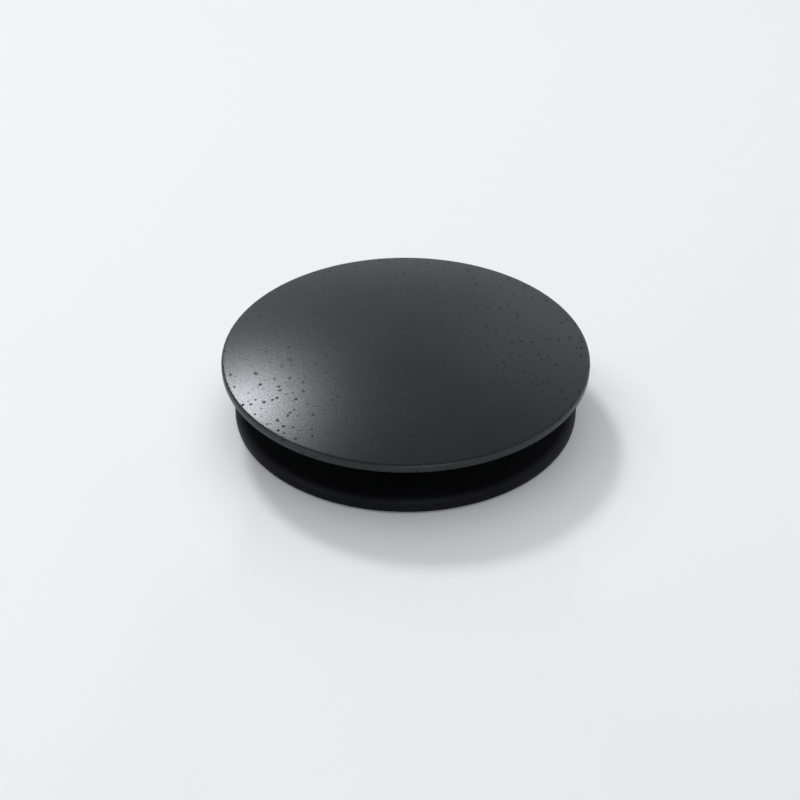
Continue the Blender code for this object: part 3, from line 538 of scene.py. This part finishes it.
bodySizes = {
    "flangeRadius": 31.0, "flangeTop": 3.0, "flangeLift": 0.4, "flangeRound": 1.4, "skirt": 1.2,
    "skirtRound": 0.25, "skirtInnerRound": 0.15, "recess": 1.8, "throat": 22.4, "bore": 18.2,
    "throatRound": 0.7, "crest": 20.95, "root": 19.47, "pitch": 2.309, "threadTop": -6.0, "turns": 25,
    "threadEmbed": 0.15, "relief": 1.2, "socketTop": -66.0, "bottom": -76.0, "socket": 16.175,
    "collarChamfer": 0.6, "steps": 160, "threadSteps": 80,
}
windowSizes = {"count": 4, "width": 12.0, "height": 15.0, "top": -9.0, "round": 3.0, "segments": 8,
               "overrun": 2.0}
bridgeSizes = {
    "arms": 4, "top": -58.5, "bottom": -63.0, "armWidth": 3.0, "embed": 0.6, "hub": 7.5, "hole": 3.3,
    "edge": 0.35, "segments": 3, "steps": 64,
}


def threadLow(b):
    return b["threadTop"] - b["turns"] * b["pitch"]


def windowCutter(w, b, name):
    # all the windows in one mesh, so that a single cut makes them
    cutter = bmesh.new()
    size = (b["crest"] - b["bore"] + 2 * w["overrun"], w["width"], w["height"])
    for number in range(w["count"]):
        joinInto(cutter, roundedBar(size, (b["bore"] + b["crest"]) / 2, w["top"] - w["height"] / 2,
                                    number * math.tau / w["count"], runsOutward, w["round"], w["segments"]))
    return plainMesh(name, cutter)


def bridgeArm(s, b, angle):
    inner, outer = (s["hub"] + s["hole"]) / 2, b["bore"] + s["embed"]
    return roundedBar((outer - inner, s["armWidth"], s["top"] - s["bottom"]), (inner + outer) / 2,
                      (s["top"] + s["bottom"]) / 2, angle, runsOutward, s["edge"], s["segments"])


def makeBody(b, w, s):
    reliefTop = b["threadTop"] + b["relief"]
    rim = b["flangeRadius"] - b["skirt"]
    depth = b["crest"] - b["root"]
    throatFoot = b["flangeTop"] - b["throat"] + b["bore"]
    collar = b["bottom"] + b["collarChamfer"]
    shell = turnOutline([
        (b["root"], collar), (b["root"], reliefTop), (b["crest"], reliefTop + depth),
        (b["crest"], b["recess"]), (rim, b["recess"]), (rim, b["flangeLift"]),
        (b["flangeRadius"], b["flangeLift"]),
        (b["flangeRadius"], b["flangeTop"]), (b["throat"], b["flangeTop"]), (b["bore"], throatFoot),
        (b["bore"], b["socketTop"] + b["bore"] - b["socket"]), (b["socket"], b["socketTop"]),
        (b["socket"], collar), (b["socket"] + b["collarChamfer"], b["bottom"]),
        (b["root"] - b["collarChamfer"], b["bottom"]),
    ], b["steps"])
    roundRings(shell, (
        (b["flangeRadius"], b["flangeTop"], b["flangeRound"], 8),
        (b["flangeRadius"], b["flangeLift"], b["skirtRound"], 3),
        (b["throat"], b["flangeTop"], b["throatRound"], 4), (b["bore"], throatFoot, b["throatRound"], 4),
        (rim, b["flangeLift"], b["skirtInnerRound"], 2),
    ))
    wall = plainMesh("bodyWall", shell)
    cutWith(wall, "DIFFERENCE", windowCutter(w, b, "wallWindows"))
    low = threadLow(b)
    thread = plainMesh("bodyThread", threadRidge(
        threadProfile(b["root"], depth, b["threadEmbed"]), b["pitch"], low, b["turns"], low, b["threadTop"],
        b["threadSteps"]))
    cutWith(thread, "DIFFERENCE", windowCutter(w, b, "threadWindows"))
    bm = meshOf(wall)
    joinInto(bm, meshOf(thread))
    for number in range(s["arms"]):
        joinInto(bm, bridgeArm(s, b, (number + 0.5) * math.tau / s["arms"]))
    hub = turnTube(s["hole"], s["hub"], s["top"], s["bottom"], s["steps"])
    roundRings(hub, [(s["hub"], height, s["edge"], s["segments"]) for height in (s["top"], s["bottom"])])
    joinInto(bm, hub)
    finishPiece("body", bm, "root", ["drain_body"], bodyCoatingWithFlangeShade)


makeBody(bodySizes, windowSizes, bridgeSizes)


# Rings and washers round the body

gasketSizes = {"bore": 22.5, "radius": 29.5, "bottom": 0.0, "top": 1.5, "edge": 0.25, "steps": 144}
coneSizes = {
    "bore": 21.45, "topRadius": 23.65, "radius": 27.65, "top": -34.0, "edgeTop": -40.5, "bottom": -43.0,
    "edge": 0.5, "shoulder": 0.8, "boreRound": 0.2, "flash": 0.12, "flashHalf": 0.1, "steps": 144,
}
slipSizes = {"bore": 21.45, "radius": 28.05, "top": -43.3, "bottom": -44.8, "edge": 0.3, "steps": 144}


def makeFlatRing(name, s, body, node, material):
    bm = turnTube(s["bore"], s["radius"], s["top"], s["bottom"], s["steps"])
    roundRings(bm, [(radius, height, s["edge"], 3) for radius in (s["bore"], s["radius"])
                    for height in (s["top"], s["bottom"])])
    finishPiece(name, bm, body, [node], material)


def makeConeWasher(s):
    middle = (s["edgeTop"] + s["bottom"]) / 2
    side = s["radius"] - s["flash"]  # the mould's line stands out from it at half height
    bm = turnOutline([
        (s["bore"], s["top"]), (s["topRadius"], s["top"]), (side, s["edgeTop"]),
        (side, middle + s["flashHalf"]), (s["radius"], middle), (side, middle - s["flashHalf"]),
        (side, s["bottom"]), (s["bore"], s["bottom"]),
    ], s["steps"])
    roundRings(bm, (
        (s["topRadius"], s["top"], s["edge"], 4), (side, s["edgeTop"], s["shoulder"], 5),
        (side, s["bottom"], s["edge"], 4), (s["bore"], s["bottom"], s["boreRound"], 2),
    ))
    finishPiece("coneWasher", bm, "clamp", ["cone_washer"], blackRubber)


makeFlatRing("flangeGasket", gasketSizes, "root", "flange_gasket", blackRubber)
makeConeWasher(coneSizes)
makeFlatRing("slipWasher", slipSizes, "clamp", "slip_washer", whitePlastic)


# Lock nut

nutSizes = {
    "flats": 52.0, "top": -45.1, "bottom": -54.027, "chamferRadius": 25.9, "bore": 21.45, "boreChamfer": 0.7,
    "boreBand": 2.0, "edge": 0.25, "edgeSegments": 3, "clearance": 0.5, "threadEnd": 1.0, "turns": 3,
    "threadEmbed": 0.3, "steps": 144,
}


def makeLockNut(s, b):
    low = threadLow(b)
    threadBottom, threadTop = s["bottom"] + s["threadEnd"], s["top"] - s["threadEnd"]
    bm = hexBlock(s, math.tau * (threadBottom - low) / b["pitch"])  # its corners start with its thread
    profile = threadProfile(s["bore"], b["root"] + s["clearance"] - s["bore"], -s["threadEmbed"])
    joinInto(bm, threadRidge(profile, b["pitch"], low + b["pitch"] / 2, s["turns"], threadBottom, threadTop,
                             b["threadSteps"]))
    finishPiece("lockNut", bm, "nut", ["lock_nut"], brass)


makeLockNut(nutSizes, bodySizes)


# Tailpiece

tailSizes = {
    "radius": 15.875, "bore": 14.875, "top": -66.3, "bottom": -200.0, "beadRadius": 18.9, "beadTop": -78.4,
    "beadHeight": 2.0, "beadRound": 0.95, "beadFillet": 0.5, "edge": 0.25, "boreRound": 0.2, "steps": 128,
}
tailSealSizes = {"bore": 16.175, "size": 0.9, "top": -76.3, "sides": 20, "steps": 128}


def makeTailpiece(s):
    bead = s["beadTop"] - s["beadHeight"]
    bm = turnOutline([
        (s["bore"], s["top"]), (s["radius"], s["top"]), (s["radius"], s["beadTop"]),
        (s["beadRadius"], s["beadTop"]), (s["beadRadius"], bead), (s["radius"], bead),
        (s["radius"], s["bottom"]), (s["bore"], s["bottom"]),
    ], s["steps"])
    roundRings(bm, (
        (s["beadRadius"], s["beadTop"], s["beadRound"], 6), (s["beadRadius"], bead, s["beadRound"], 6),
        (s["radius"], bead, s["beadFillet"], 4), (s["radius"], s["top"], s["edge"], 3),
        (s["bore"], s["top"], s["boreRound"], 3), (s["radius"], s["bottom"], s["edge"], 3),
        (s["bore"], s["bottom"], s["boreRound"], 3),
    ))
    finishPiece("tailTube", bm, "root", ["tailpiece"], tubeCoating)


def makeTailSeal(s):
    # a round ring: one vertex spun round its section's centre, and that section round the axis
    bm = bmesh.new()
    radius, height = s["bore"] + s["size"], s["top"] - s["size"]
    start = bm.verts.new(place(radius + s["size"], height))
    bmesh.ops.spin(bm, geom=[start], cent=place(radius, height), axis=(0, 1, 0), angle=math.tau,
                   steps=s["sides"], use_merge=True)
    spinRound(bm, s["steps"])
    finishPiece("tailSeal", bm, "root", ["tailpiece_seal"], blackRubber)


makeTailpiece(tailSizes)
makeTailSeal(tailSealSizes)


# Under the cap

sealSizes = {
    "bore": 17.0, "radius": 20.8, "top": 11.1, "edge": 9.9, "bevel": 1.4, "topRound": 0.2, "edgeRound": 0.4,
    "bevelRound": 0.3, "boreRound": 0.15, "steps": 144,
}
carrierSizes = {
    "radius": 16.7, "lipRadius": 17.9, "lipTop": 8.2, "lipBottom": 7.4, "wall": 1.5, "web": 1.7,
    "socket": 6.4, "hub": 8.4, "seat": 8.7, "bottom": 5.8, "hole": 3.3, "top": 11.1, "lipRound": 0.15,
    "footRound": 0.25, "smallRound": 0.2, "fillet": 0.4, "hubRound": 0.3, "steps": 128,
    "ribs": 8, "ribWidth": 1.0, "ribEmbed": 0.3, "ribShort": 0.4, "ribRound": 0.2, "ribSegments": 2,
}
jamNutSizes = {
    "flats": 10.0, "top": 5.5, "bottom": 2.7, "chamferRadius": 4.9, "bore": 3.3, "boreChamfer": 0.4,
    "boreBand": 0.8, "edge": 0.1, "edgeSegments": 2, "steps": 96,
}


def makeCapSeal(s):
    low = s["edge"] - s["bevel"]
    foot = s["radius"] - s["bevel"]
    bm = turnOutline([(s["bore"], s["top"]), (s["radius"], s["top"]), (s["radius"], s["edge"]), (foot, low),
                      (s["bore"], low)], s["steps"])
    roundRings(bm, (
        (s["radius"], s["top"], s["topRound"], 3), (s["radius"], s["edge"], s["edgeRound"], 4),
        (foot, low, s["bevelRound"], 3), (s["bore"], low, s["boreRound"], 2),
    ))
    finishPiece("capSeal", bm, "plunger", ["cap_seal"], blackRubber)


def makeCarrier(s):
    web = s["top"] - s["web"]
    inner = s["radius"] - s["wall"]
    bm = turnOutline([
        (s["socket"], s["top"]), (s["radius"], s["top"]), (s["radius"], s["lipTop"]),
        (s["lipRadius"], s["lipTop"]), (s["lipRadius"], s["lipBottom"]), (inner, s["lipBottom"]),
        (inner, web), (s["hub"], web),
        (s["hub"], s["bottom"]), (s["hole"], s["bottom"]), (s["hole"], s["seat"]), (s["socket"], s["seat"]),
    ], s["steps"])
    roundRings(bm, (
        (s["lipRadius"], s["lipTop"], s["lipRound"], 2), (s["lipRadius"], s["lipBottom"], s["footRound"], 3),
        (inner, s["lipBottom"], s["smallRound"], 3), (inner, web, s["fillet"], 3),
        (s["hub"], web, s["fillet"], 3), (s["hub"], s["bottom"], s["hubRound"], 3),
        (s["hole"], s["bottom"], s["smallRound"], 2),
    ))
    ribHeight = web - s["lipBottom"] - s["ribShort"]
    size = (inner - s["hub"] + 2 * s["ribEmbed"], s["ribWidth"], ribHeight + 2 * s["ribEmbed"])
    for number in range(s["ribs"]):
        joinInto(bm, roundedBar(size, (inner + s["hub"]) / 2, web - ribHeight / 2 + s["ribEmbed"],
                                (number + 0.5) * math.tau / s["ribs"], liesBelow, s["ribRound"],
                                s["ribSegments"]))
    finishPiece("sealCarrier", bm, "plunger", ["seal_carrier"], blackPlastic)


makeCapSeal(sealSizes)
makeCarrier(carrierSizes)
finishPiece("jamNut", hexBlock(jamNutSizes), "plunger", ["jam_nut"], brass)


# Rod and cartridge

rodSizes = {
    "radius": 3.0, "top": 12.7, "chamfer": 0.5, "stopTop": -13.3, "stopBottom": -15.5, "stopRadius": 5.5,
    "stopRound": 0.2, "grooveTop": -30.7, "grooveBottom": -32.1, "groove": 2.3, "bottom": -33.3,
    "threadDepth": 0.3, "threadPitch": 1.0, "threadBottom": 1.6, "steps": 64,
}
barrelSizes = {
    "radius": 7.5, "bore": 6.3, "top": -8.2, "bottom": -55.9, "edge": 0.2, "steps": 96,
    "pinHeight": -26.6, "pinHole": 1.05, "pinSteps": 32, "overrun": 2.0,
}
plugSizes = {
    "spigotTop": -48.8, "spigot": 4.0, "spigotRound": 0.4, "top": -51.8, "inside": 6.0, "flangeTop": -56.2,
    "radius": 7.5, "bottom": -58.2, "edge": 0.2, "stud": 3.0, "studBottom": -70.1, "chamfer": 0.5,
    "threadPitch": 1.0, "threadDepth": 0.3, "threadTop": -59.0, "threadLead": 0.1, "steps": 64,
}
studWasherSizes = {
    "bore": 3.3, "radius": 6.2, "top": -63.3, "bottom": -64.3, "topRound": 0.15, "bottomRound": 0.25,
    "steps": 96,
}
studNutSizes = {**jamNutSizes, "top": -64.6, "bottom": -68.6}


# where one turn of a fine thread lies, as shares of its depth and of its pitch from the upper end down
grooveShares = ((0, 0), (0, 0.15), (1, 0.5), (0, 0.85))


def grooved(radius, depth, pitch, high, low):
    points = []
    height = high
    while height - pitch > low:
        points += [(radius - deep * depth, height - down * pitch) for deep, down in grooveShares]
        height -= pitch
    return points


def makeRod(s):
    outline = [(0, s["top"]), (s["radius"] - s["chamfer"], s["top"])]
    outline += grooved(s["radius"], s["threadDepth"], s["threadPitch"], s["top"] - s["chamfer"],
                       s["threadBottom"])
    outline += [
        (s["radius"], s["threadBottom"]), (s["radius"], s["stopTop"]), (s["stopRadius"], s["stopTop"]),
        (s["stopRadius"], s["stopBottom"]), (s["radius"], s["stopBottom"]), (s["radius"], s["grooveTop"]),
        (s["groove"], s["grooveTop"]), (s["groove"], s["grooveBottom"]), (s["radius"], s["grooveBottom"]),
        (s["radius"], s["bottom"] + s["chamfer"]), (s["radius"] - s["chamfer"], s["bottom"]),
        (0, s["bottom"]),
    ]
    bm = turnOutline(outline, s["steps"])
    roundRings(bm, [(s["stopRadius"], height, s["stopRound"], 2)
                    for height in (s["stopTop"], s["stopBottom"])])
    finishPiece("pushRod", bm, "plunger", ["push_rod"], steel)


def makeBarrel(s):
    bm = turnTube(s["bore"], s["radius"], s["top"], s["bottom"], s["steps"])
    roundRings(bm, [(s["radius"], height, s["edge"], 2) for height in (s["top"], s["bottom"])])
    tube = plainMesh("barrelTube", bm)
    hole = bmesh.new()  # one cutter makes both pins' holes
    bmesh.ops.create_cone(hole, cap_ends=True, segments=s["pinSteps"], radius1=s["pinHole"] * mm,
                          radius2=s["pinHole"] * mm, depth=2 * (s["radius"] + s["overrun"]) * mm)
    bmesh.ops.rotate(hole, cent=(0, 0, 0), matrix=Matrix.Rotation(math.tau / 4, 3, "Y"), verts=hole.verts)
    bmesh.ops.translate(hole, vec=(0, 0, s["pinHeight"] * mm), verts=hole.verts)
    cutWith(tube, "DIFFERENCE", plainMesh("pinHole", hole))
    finishPiece("clickBarrel", meshOf(tube), "root", ["cartridge_barrel"], brass)


def makePlug(s):
    studFoot = s["studBottom"] + s["chamfer"]
    outline = [
        (0, s["spigotTop"]), (s["spigot"], s["spigotTop"]), (s["spigot"], s["top"]), (s["inside"], s["top"]),
        (s["inside"], s["flangeTop"]), (s["radius"], s["flangeTop"]), (s["radius"], s["bottom"]),
        (s["stud"], s["bottom"]), (s["stud"], s["threadTop"] + s["threadLead"]),
    ]
    outline += grooved(s["stud"], s["threadDepth"], s["threadPitch"], s["threadTop"], studFoot)
    outline += [(s["stud"], studFoot), (s["stud"] - s["chamfer"], s["studBottom"]), (0, s["studBottom"])]
    bm = turnOutline(outline, s["steps"])
    roundRings(bm, ((s["spigot"], s["spigotTop"], s["spigotRound"], 3),
                    (s["radius"], s["flangeTop"], s["edge"], 2), (s["radius"], s["bottom"], s["edge"], 2)))
    finishPiece("footPlug", bm, "root", ["end_plug"], brass)


def makeStudWasher(s):
    bm = turnTube(s["bore"], s["radius"], s["top"], s["bottom"], s["steps"])
    roundRings(bm, ((s["radius"], s["top"], s["topRound"], 2),
                    (s["radius"], s["bottom"], s["bottomRound"], 3)))
    finishPiece("studWasher", bm, "root", ["stud_washer"], steel)


makeRod(rodSizes)
makeBarrel(barrelSizes)
makePlug(plugSizes)
makeStudWasher(studWasherSizes)
finishPiece("studNut", hexBlock(studNutSizes), "root", ["stud_nut"], brass)


# Return spring

springSizes = {
    "radius": 5.2, "wire": 0.5, "wireFineness": 4, "bottom": -51.5, "length": 20.5, "turns": 8,
    "endPitch": 1.6, "pointsPerTurn": 40, "sharp": 50, "keep": 0.61,
}


def makeSpring(s):
    # the first and last turns lie close, and the ones between share the rest of the length
    rise = s["length"] - 2 * s["wire"]
    middlePitch = (rise - 2 * s["endPitch"]) / (s["turns"] - 2)
    wire = bpy.data.curves.new("springWire", "CURVE")
    wire.dimensions = "3D"
    wire.bevel_depth = s["wire"] * mm
    wire.bevel_resolution = s["wireFineness"]
    wire.use_fill_caps = True
    spline = wire.splines.new("POLY")
    spline.points.add(s["turns"] * s["pointsPerTurn"])
    for number, point in enumerate(spline.points):
        turn = number / s["pointsPerTurn"]
        height = (s["bottom"] + s["wire"] + min(turn, 1) * s["endPitch"]
                  + min(max(turn - 1, 0), s["turns"] - 2) * middlePitch
                  + max(turn - s["turns"] + 1, 0) * s["endPitch"])
        point.co = (*place(s["radius"], height, math.tau * turn), 1)
    coil = bpy.data.objects.new("springCoil", wire)
    bpy.context.scene.collection.objects.link(coil)
    bpy.context.view_layer.update()
    mesh = bpy.data.meshes.new_from_object(coil.evaluated_get(bpy.context.evaluated_depsgraph_get()))
    bpy.data.objects.remove(coil)
    bm = bmesh.new()
    bm.from_mesh(mesh)
    bmesh.ops.remove_doubles(bm, verts=bm.verts, dist=weldNear)
    bmesh.ops.recalc_face_normals(bm, faces=bm.faces)
    piece = finishPiece("returnSpring", bm, "root", ["return_spring"], steel, s["sharp"])
    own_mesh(piece)


makeSpring(springSizes)


# Pieces inside the barrel keep their solids

insideFinishes = {
    "index_cam": whitePlastic, "guide_bush": whitePlastic, "rod_seal": blackRubber, "thrust_washer": steel,
    "retaining_clip": steel, "guide_pin_left": steel, "guide_pin_right": steel,
}
for nodeName, material in insideFinishes.items():
    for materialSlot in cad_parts[nodeName].material_slots:
        materialSlot.material = material
print("inside pieces finished")


# Floor, light and camera

backdropColour = (0.830, 0.840, 0.866)  # as bright as the floor comes out
stageLook = {
    "floor": (0.795, 0.80, 0.812), "roughness": 0.55,
    "mirrored": 0.68,  # how much of the floor's and backdrop's colour shows in reflections
    # the plate at the gasket's foot: its extent, its hole, and where each fade of it is full and gone
    "near": -113, "far": 48, "half": 60, "hole": 22.0, "holeSteps": 96, "discAt": (4, -9, 0),
    "discFull": 32, "discGone": 49, "backFull": 4, "backGone": 26, "stripFull": 25, "stripGone": 33,
    "frontFull": -12, "frontGone": 0, "endFull": -98, "endGone": -112,
    # the floor at the tailpiece's foot, which fades into the backdrop between two distances
    "low": -200.3, "lowHalf": 3000, "backdropFrom": 300, "backdropTo": 1300,
}


def seenRays(nodes, links):
    # one for the rays that show the backdrop: straight, mirrored or let through
    rays = nodes.new("ShaderNodeLightPath").outputs
    shown = combine(nodes, links, "MAXIMUM", rays["Is Camera Ray"], rays["Is Glossy Ray"])
    return combine(nodes, links, "MAXIMUM", shown, rays["Is Transmission Ray"])


def dimmedTint(nodes, links, colour, mirrored):
    # the colour, and a dimmer one for reflections
    mirror = nodes.new("ShaderNodeLightPath").outputs["Is Glossy Ray"]
    return tint(nodes, links, mirror, colour, tuple(value * mirrored for value in colour))


def distanceFrom(nodes, links, point):
    # how far a place is from this point, which is in millimetres, through the Object coordinates
    reach = nodes.new("ShaderNodeVectorMath")
    reach.operation = "DISTANCE"
    reach.inputs[1].default_value = tuple(part * mm for part in point)
    links.new(here(nodes), reach.inputs[0])
    return reach.outputs["Value"]


def plateShare(nodes, links, look):
    # the plate is there round the drain's shadow and in a strip in front of it, and fades out elsewhere,
    # so that the other views show as much of the drain as they can
    def fade(source, gone, full):
        return spread(nodes, links, source, look[gone] * mm, look[full] * mm, 0, 1, "SMOOTHSTEP")

    def both(first, second):
        return combine(nodes, links, "MULTIPLY", first, second)

    split = nodes.new("ShaderNodeSeparateXYZ")
    links.new(here(nodes), split.inputs[0])
    depth = split.outputs["Y"]
    aside = combine(nodes, links, "ABSOLUTE", split.outputs["X"], 0)
    disc = both(fade(distanceFrom(nodes, links, look["discAt"]), "discGone", "discFull"),
                fade(depth, "backGone", "backFull"))
    strip = both(fade(depth, "frontGone", "frontFull"), fade(depth, "endGone", "endFull"))
    strip = both(strip, fade(aside, "stripGone", "stripFull"))
    return combine(nodes, links, "MAXIMUM", disc, strip)


def floorMaterial(name, look, plate):
    material, nodes, links, shader = newMaterial(name)
    links.new(dimmedTint(nodes, links, look["floor"], look["mirrored"]), shader.inputs["Base Color"])
    shader.inputs["Roughness"].default_value = look["roughness"]
    surface = shader.outputs["BSDF"]
    below = nodes.new("ShaderNodeNewGeometry").outputs["Backfacing"]
    kept = spread(nodes, links, below, 0, 1, 1, 0)  # from below neither floor is there
    if plate:
        kept = combine(nodes, links, "MULTIPLY", kept, plateShare(nodes, links, look))
        specks = nodes.new("ShaderNodeTexWhiteNoise")  # the fade is a scatter of points, each there or not
        specks.noise_dimensions = "3D"
        links.new(here(nodes), specks.inputs["Vector"])
        kept = combine(nodes, links, "GREATER_THAN", kept, specks.outputs["Value"])
    else:
        away = spread(nodes, links, distanceFrom(nodes, links, (0, 0, 0)), look["backdropFrom"] * mm,
                      look["backdropTo"] * mm, 0, 1, "SMOOTHSTEP")
        away = combine(nodes, links, "MULTIPLY", away, seenRays(nodes, links))
        glow = nodes.new("ShaderNodeEmission")
        links.new(dimmedTint(nodes, links, backdropColour, look["mirrored"]), glow.inputs["Color"])
        surface = mixShaders(nodes, links, away, surface, glow.outputs["Emission"])
    clear = nodes.new("ShaderNodeBsdfTransparent").outputs["BSDF"]
    links.new(mixShaders(nodes, links, kept, clear, surface), nodes["Material Output"].inputs["Surface"])
    return material


def makeStage(s):
    bm = bmesh.new()
    bmesh.ops.create_circle(bm, cap_ends=False, segments=s["holeSteps"], radius=s["hole"] * mm)
    corners = [bm.verts.new((x * s["half"] * mm, y * mm, 0)) for x, y in (
        (-1, s["near"]), (1, s["near"]), (1, s["far"]), (-1, s["far"]))]
    for first, second in zip(corners, corners[1:] + corners[:1]):
        bm.edges.new((first, second))
    bmesh.ops.triangle_fill(bm, use_beauty=True, edges=bm.edges[:], normal=(0, 0, 1))
    for face in bm.faces:
        if face.normal.z < 0:
            face.normal_flip()
    plate = plainMesh("floorPlate", bm)
    plate.data.materials.append(floorMaterial("plateWhite", s, True))
    # it takes no light from the lower floor or the pieces below it
    plate.visible_shadow = plate.visible_diffuse = False
    bm = bmesh.new()
    bmesh.ops.create_grid(bm, x_segments=1, y_segments=1, size=s["lowHalf"] * mm)
    bmesh.ops.translate(bm, vec=(0, 0, s["low"] * mm), verts=bm.verts)
    ground = plainMesh("floor", bm)
    ground.data.materials.append(floorMaterial("floorWhite", s, False))


makeStage(stageLook)

lampColour = (0.98, 0.99, 1.05)
lightLook = {
    # where each lamp stands in metres, what it looks at, its width and height, its power in watts, and
    # whether reflections show it; the back one only deepens the shadow
    "key": ((-0.588, 1.285, 1.277), (0, 0, 0.01), 0.26, 0.26, 8.4, True),
    "back": ((-0.588, 1.285, 1.277), (0, 0, 0.01), 0.40, 0.40, 5.4, False),
    "right": ((1.0, 2.2, 1.4), (0, 0, 0.01), 1.5, 1.2, 1.9, True),
    "front": ((0.5, -2.2, 1.2), (0, 0, -0.08), 1.4, 1.4, 6.0, True),
    "side": ((-2.0, -0.9, 0.7), (0, 0, -0.08), 1.2, 1.6, 3.0, True),
}
for lampName, (spot, target, width, height, power, mirrored) in lightLook.items():
    lamp = bpy.data.lights.new(lampName, "AREA")
    lamp.shape = "RECTANGLE"
    lamp.size, lamp.size_y, lamp.energy, lamp.color = width, height, power, lampColour
    holder = bpy.data.objects.new(lampName, lamp)
    holder.visible_glossy = mirrored
    bpy.context.scene.collection.objects.link(holder)
    holder.location = spot
    holder.rotation_euler = (Vector(target) - Vector(spot)).to_track_quat("-Z", "Y").to_euler()

skyLook = {
    "ambient": 0.74, "colour": (1.0, 1.0, 1.0), "mirroredColour": (0.98, 1.0, 1.09),
    # how bright it is in reflections, at these shares of the way from level to straight up
    "mirrored": ((0.0, 0.88), (0.09, 0.80), (0.2, 0.50), (0.5, 0.37), (0.85, 0.17)),
}


def makeSky(s):
    world = bpy.data.worlds.new("studio")
    bpy.context.scene.world = world
    world.use_nodes = True
    nodes, links = world.node_tree.nodes, world.node_tree.links
    nodes.clear()
    soft, mirrored, plain = (nodes.new("ShaderNodeBackground") for part in range(3))
    soft.inputs["Color"].default_value = (*s["colour"], 1)
    soft.inputs["Strength"].default_value = s["ambient"]
    plain.inputs["Color"].default_value = (*backdropColour, 1)
    split = nodes.new("ShaderNodeSeparateXYZ")
    links.new(nodes.new("ShaderNodeTexCoord").outputs["Generated"], split.inputs[0])
    ramp = nodes.new("ShaderNodeValToRGB")
    while len(ramp.color_ramp.elements) < len(s["mirrored"]):
        ramp.color_ramp.elements.new(0.5)
    for element, (share, bright) in zip(ramp.color_ramp.elements, s["mirrored"]):
        element.position = share
        element.color = (*(bright * part for part in s["mirroredColour"]), 1)
    links.new(split.outputs["Z"], ramp.inputs["Fac"])
    links.new(ramp.outputs["Color"], mirrored.inputs["Color"])
    rays = nodes.new("ShaderNodeLightPath").outputs
    straight = combine(nodes, links, "MAXIMUM", rays["Is Camera Ray"], rays["Is Transmission Ray"])
    sky = mixShaders(nodes, links, rays["Is Glossy Ray"], soft.outputs["Background"],
                     mirrored.outputs["Background"])
    sky = mixShaders(nodes, links, straight, sky, plain.outputs["Background"])
    links.new(sky, nodes.new("ShaderNodeOutputWorld").inputs["Surface"])


makeSky(skyLook)

cameraLook = {
    "distance": 350.0, "lookHeight": 11.0, "elevation": 34.5, "aim": (-0.97, -13.0, 11.0), "lens": 87.7,
    "sensor": 36, "nearest": 0.01, "farthest": 20,
}


def makeCamera(s):
    rise = math.radians(s["elevation"])
    camera = bpy.data.objects.new("camera", bpy.data.cameras.new("camera"))
    bpy.context.scene.collection.objects.link(camera)
    camera.location = (0, -s["distance"] * math.cos(rise) * mm,
                       (s["lookHeight"] + s["distance"] * math.sin(rise)) * mm)
    camera.rotation_euler = (Vector(s["aim"]) * mm - camera.location).to_track_quat("-Z", "Y").to_euler()
    camera.data.lens, camera.data.sensor_width = s["lens"], s["sensor"]
    camera.data.clip_start, camera.data.clip_end = s["nearest"], s["farthest"]
    bpy.context.scene.camera = camera


makeCamera(cameraLook)
bpy.context.scene.view_settings.view_transform = "Standard"
print("stage, lamps and camera made")

print("scene ready")
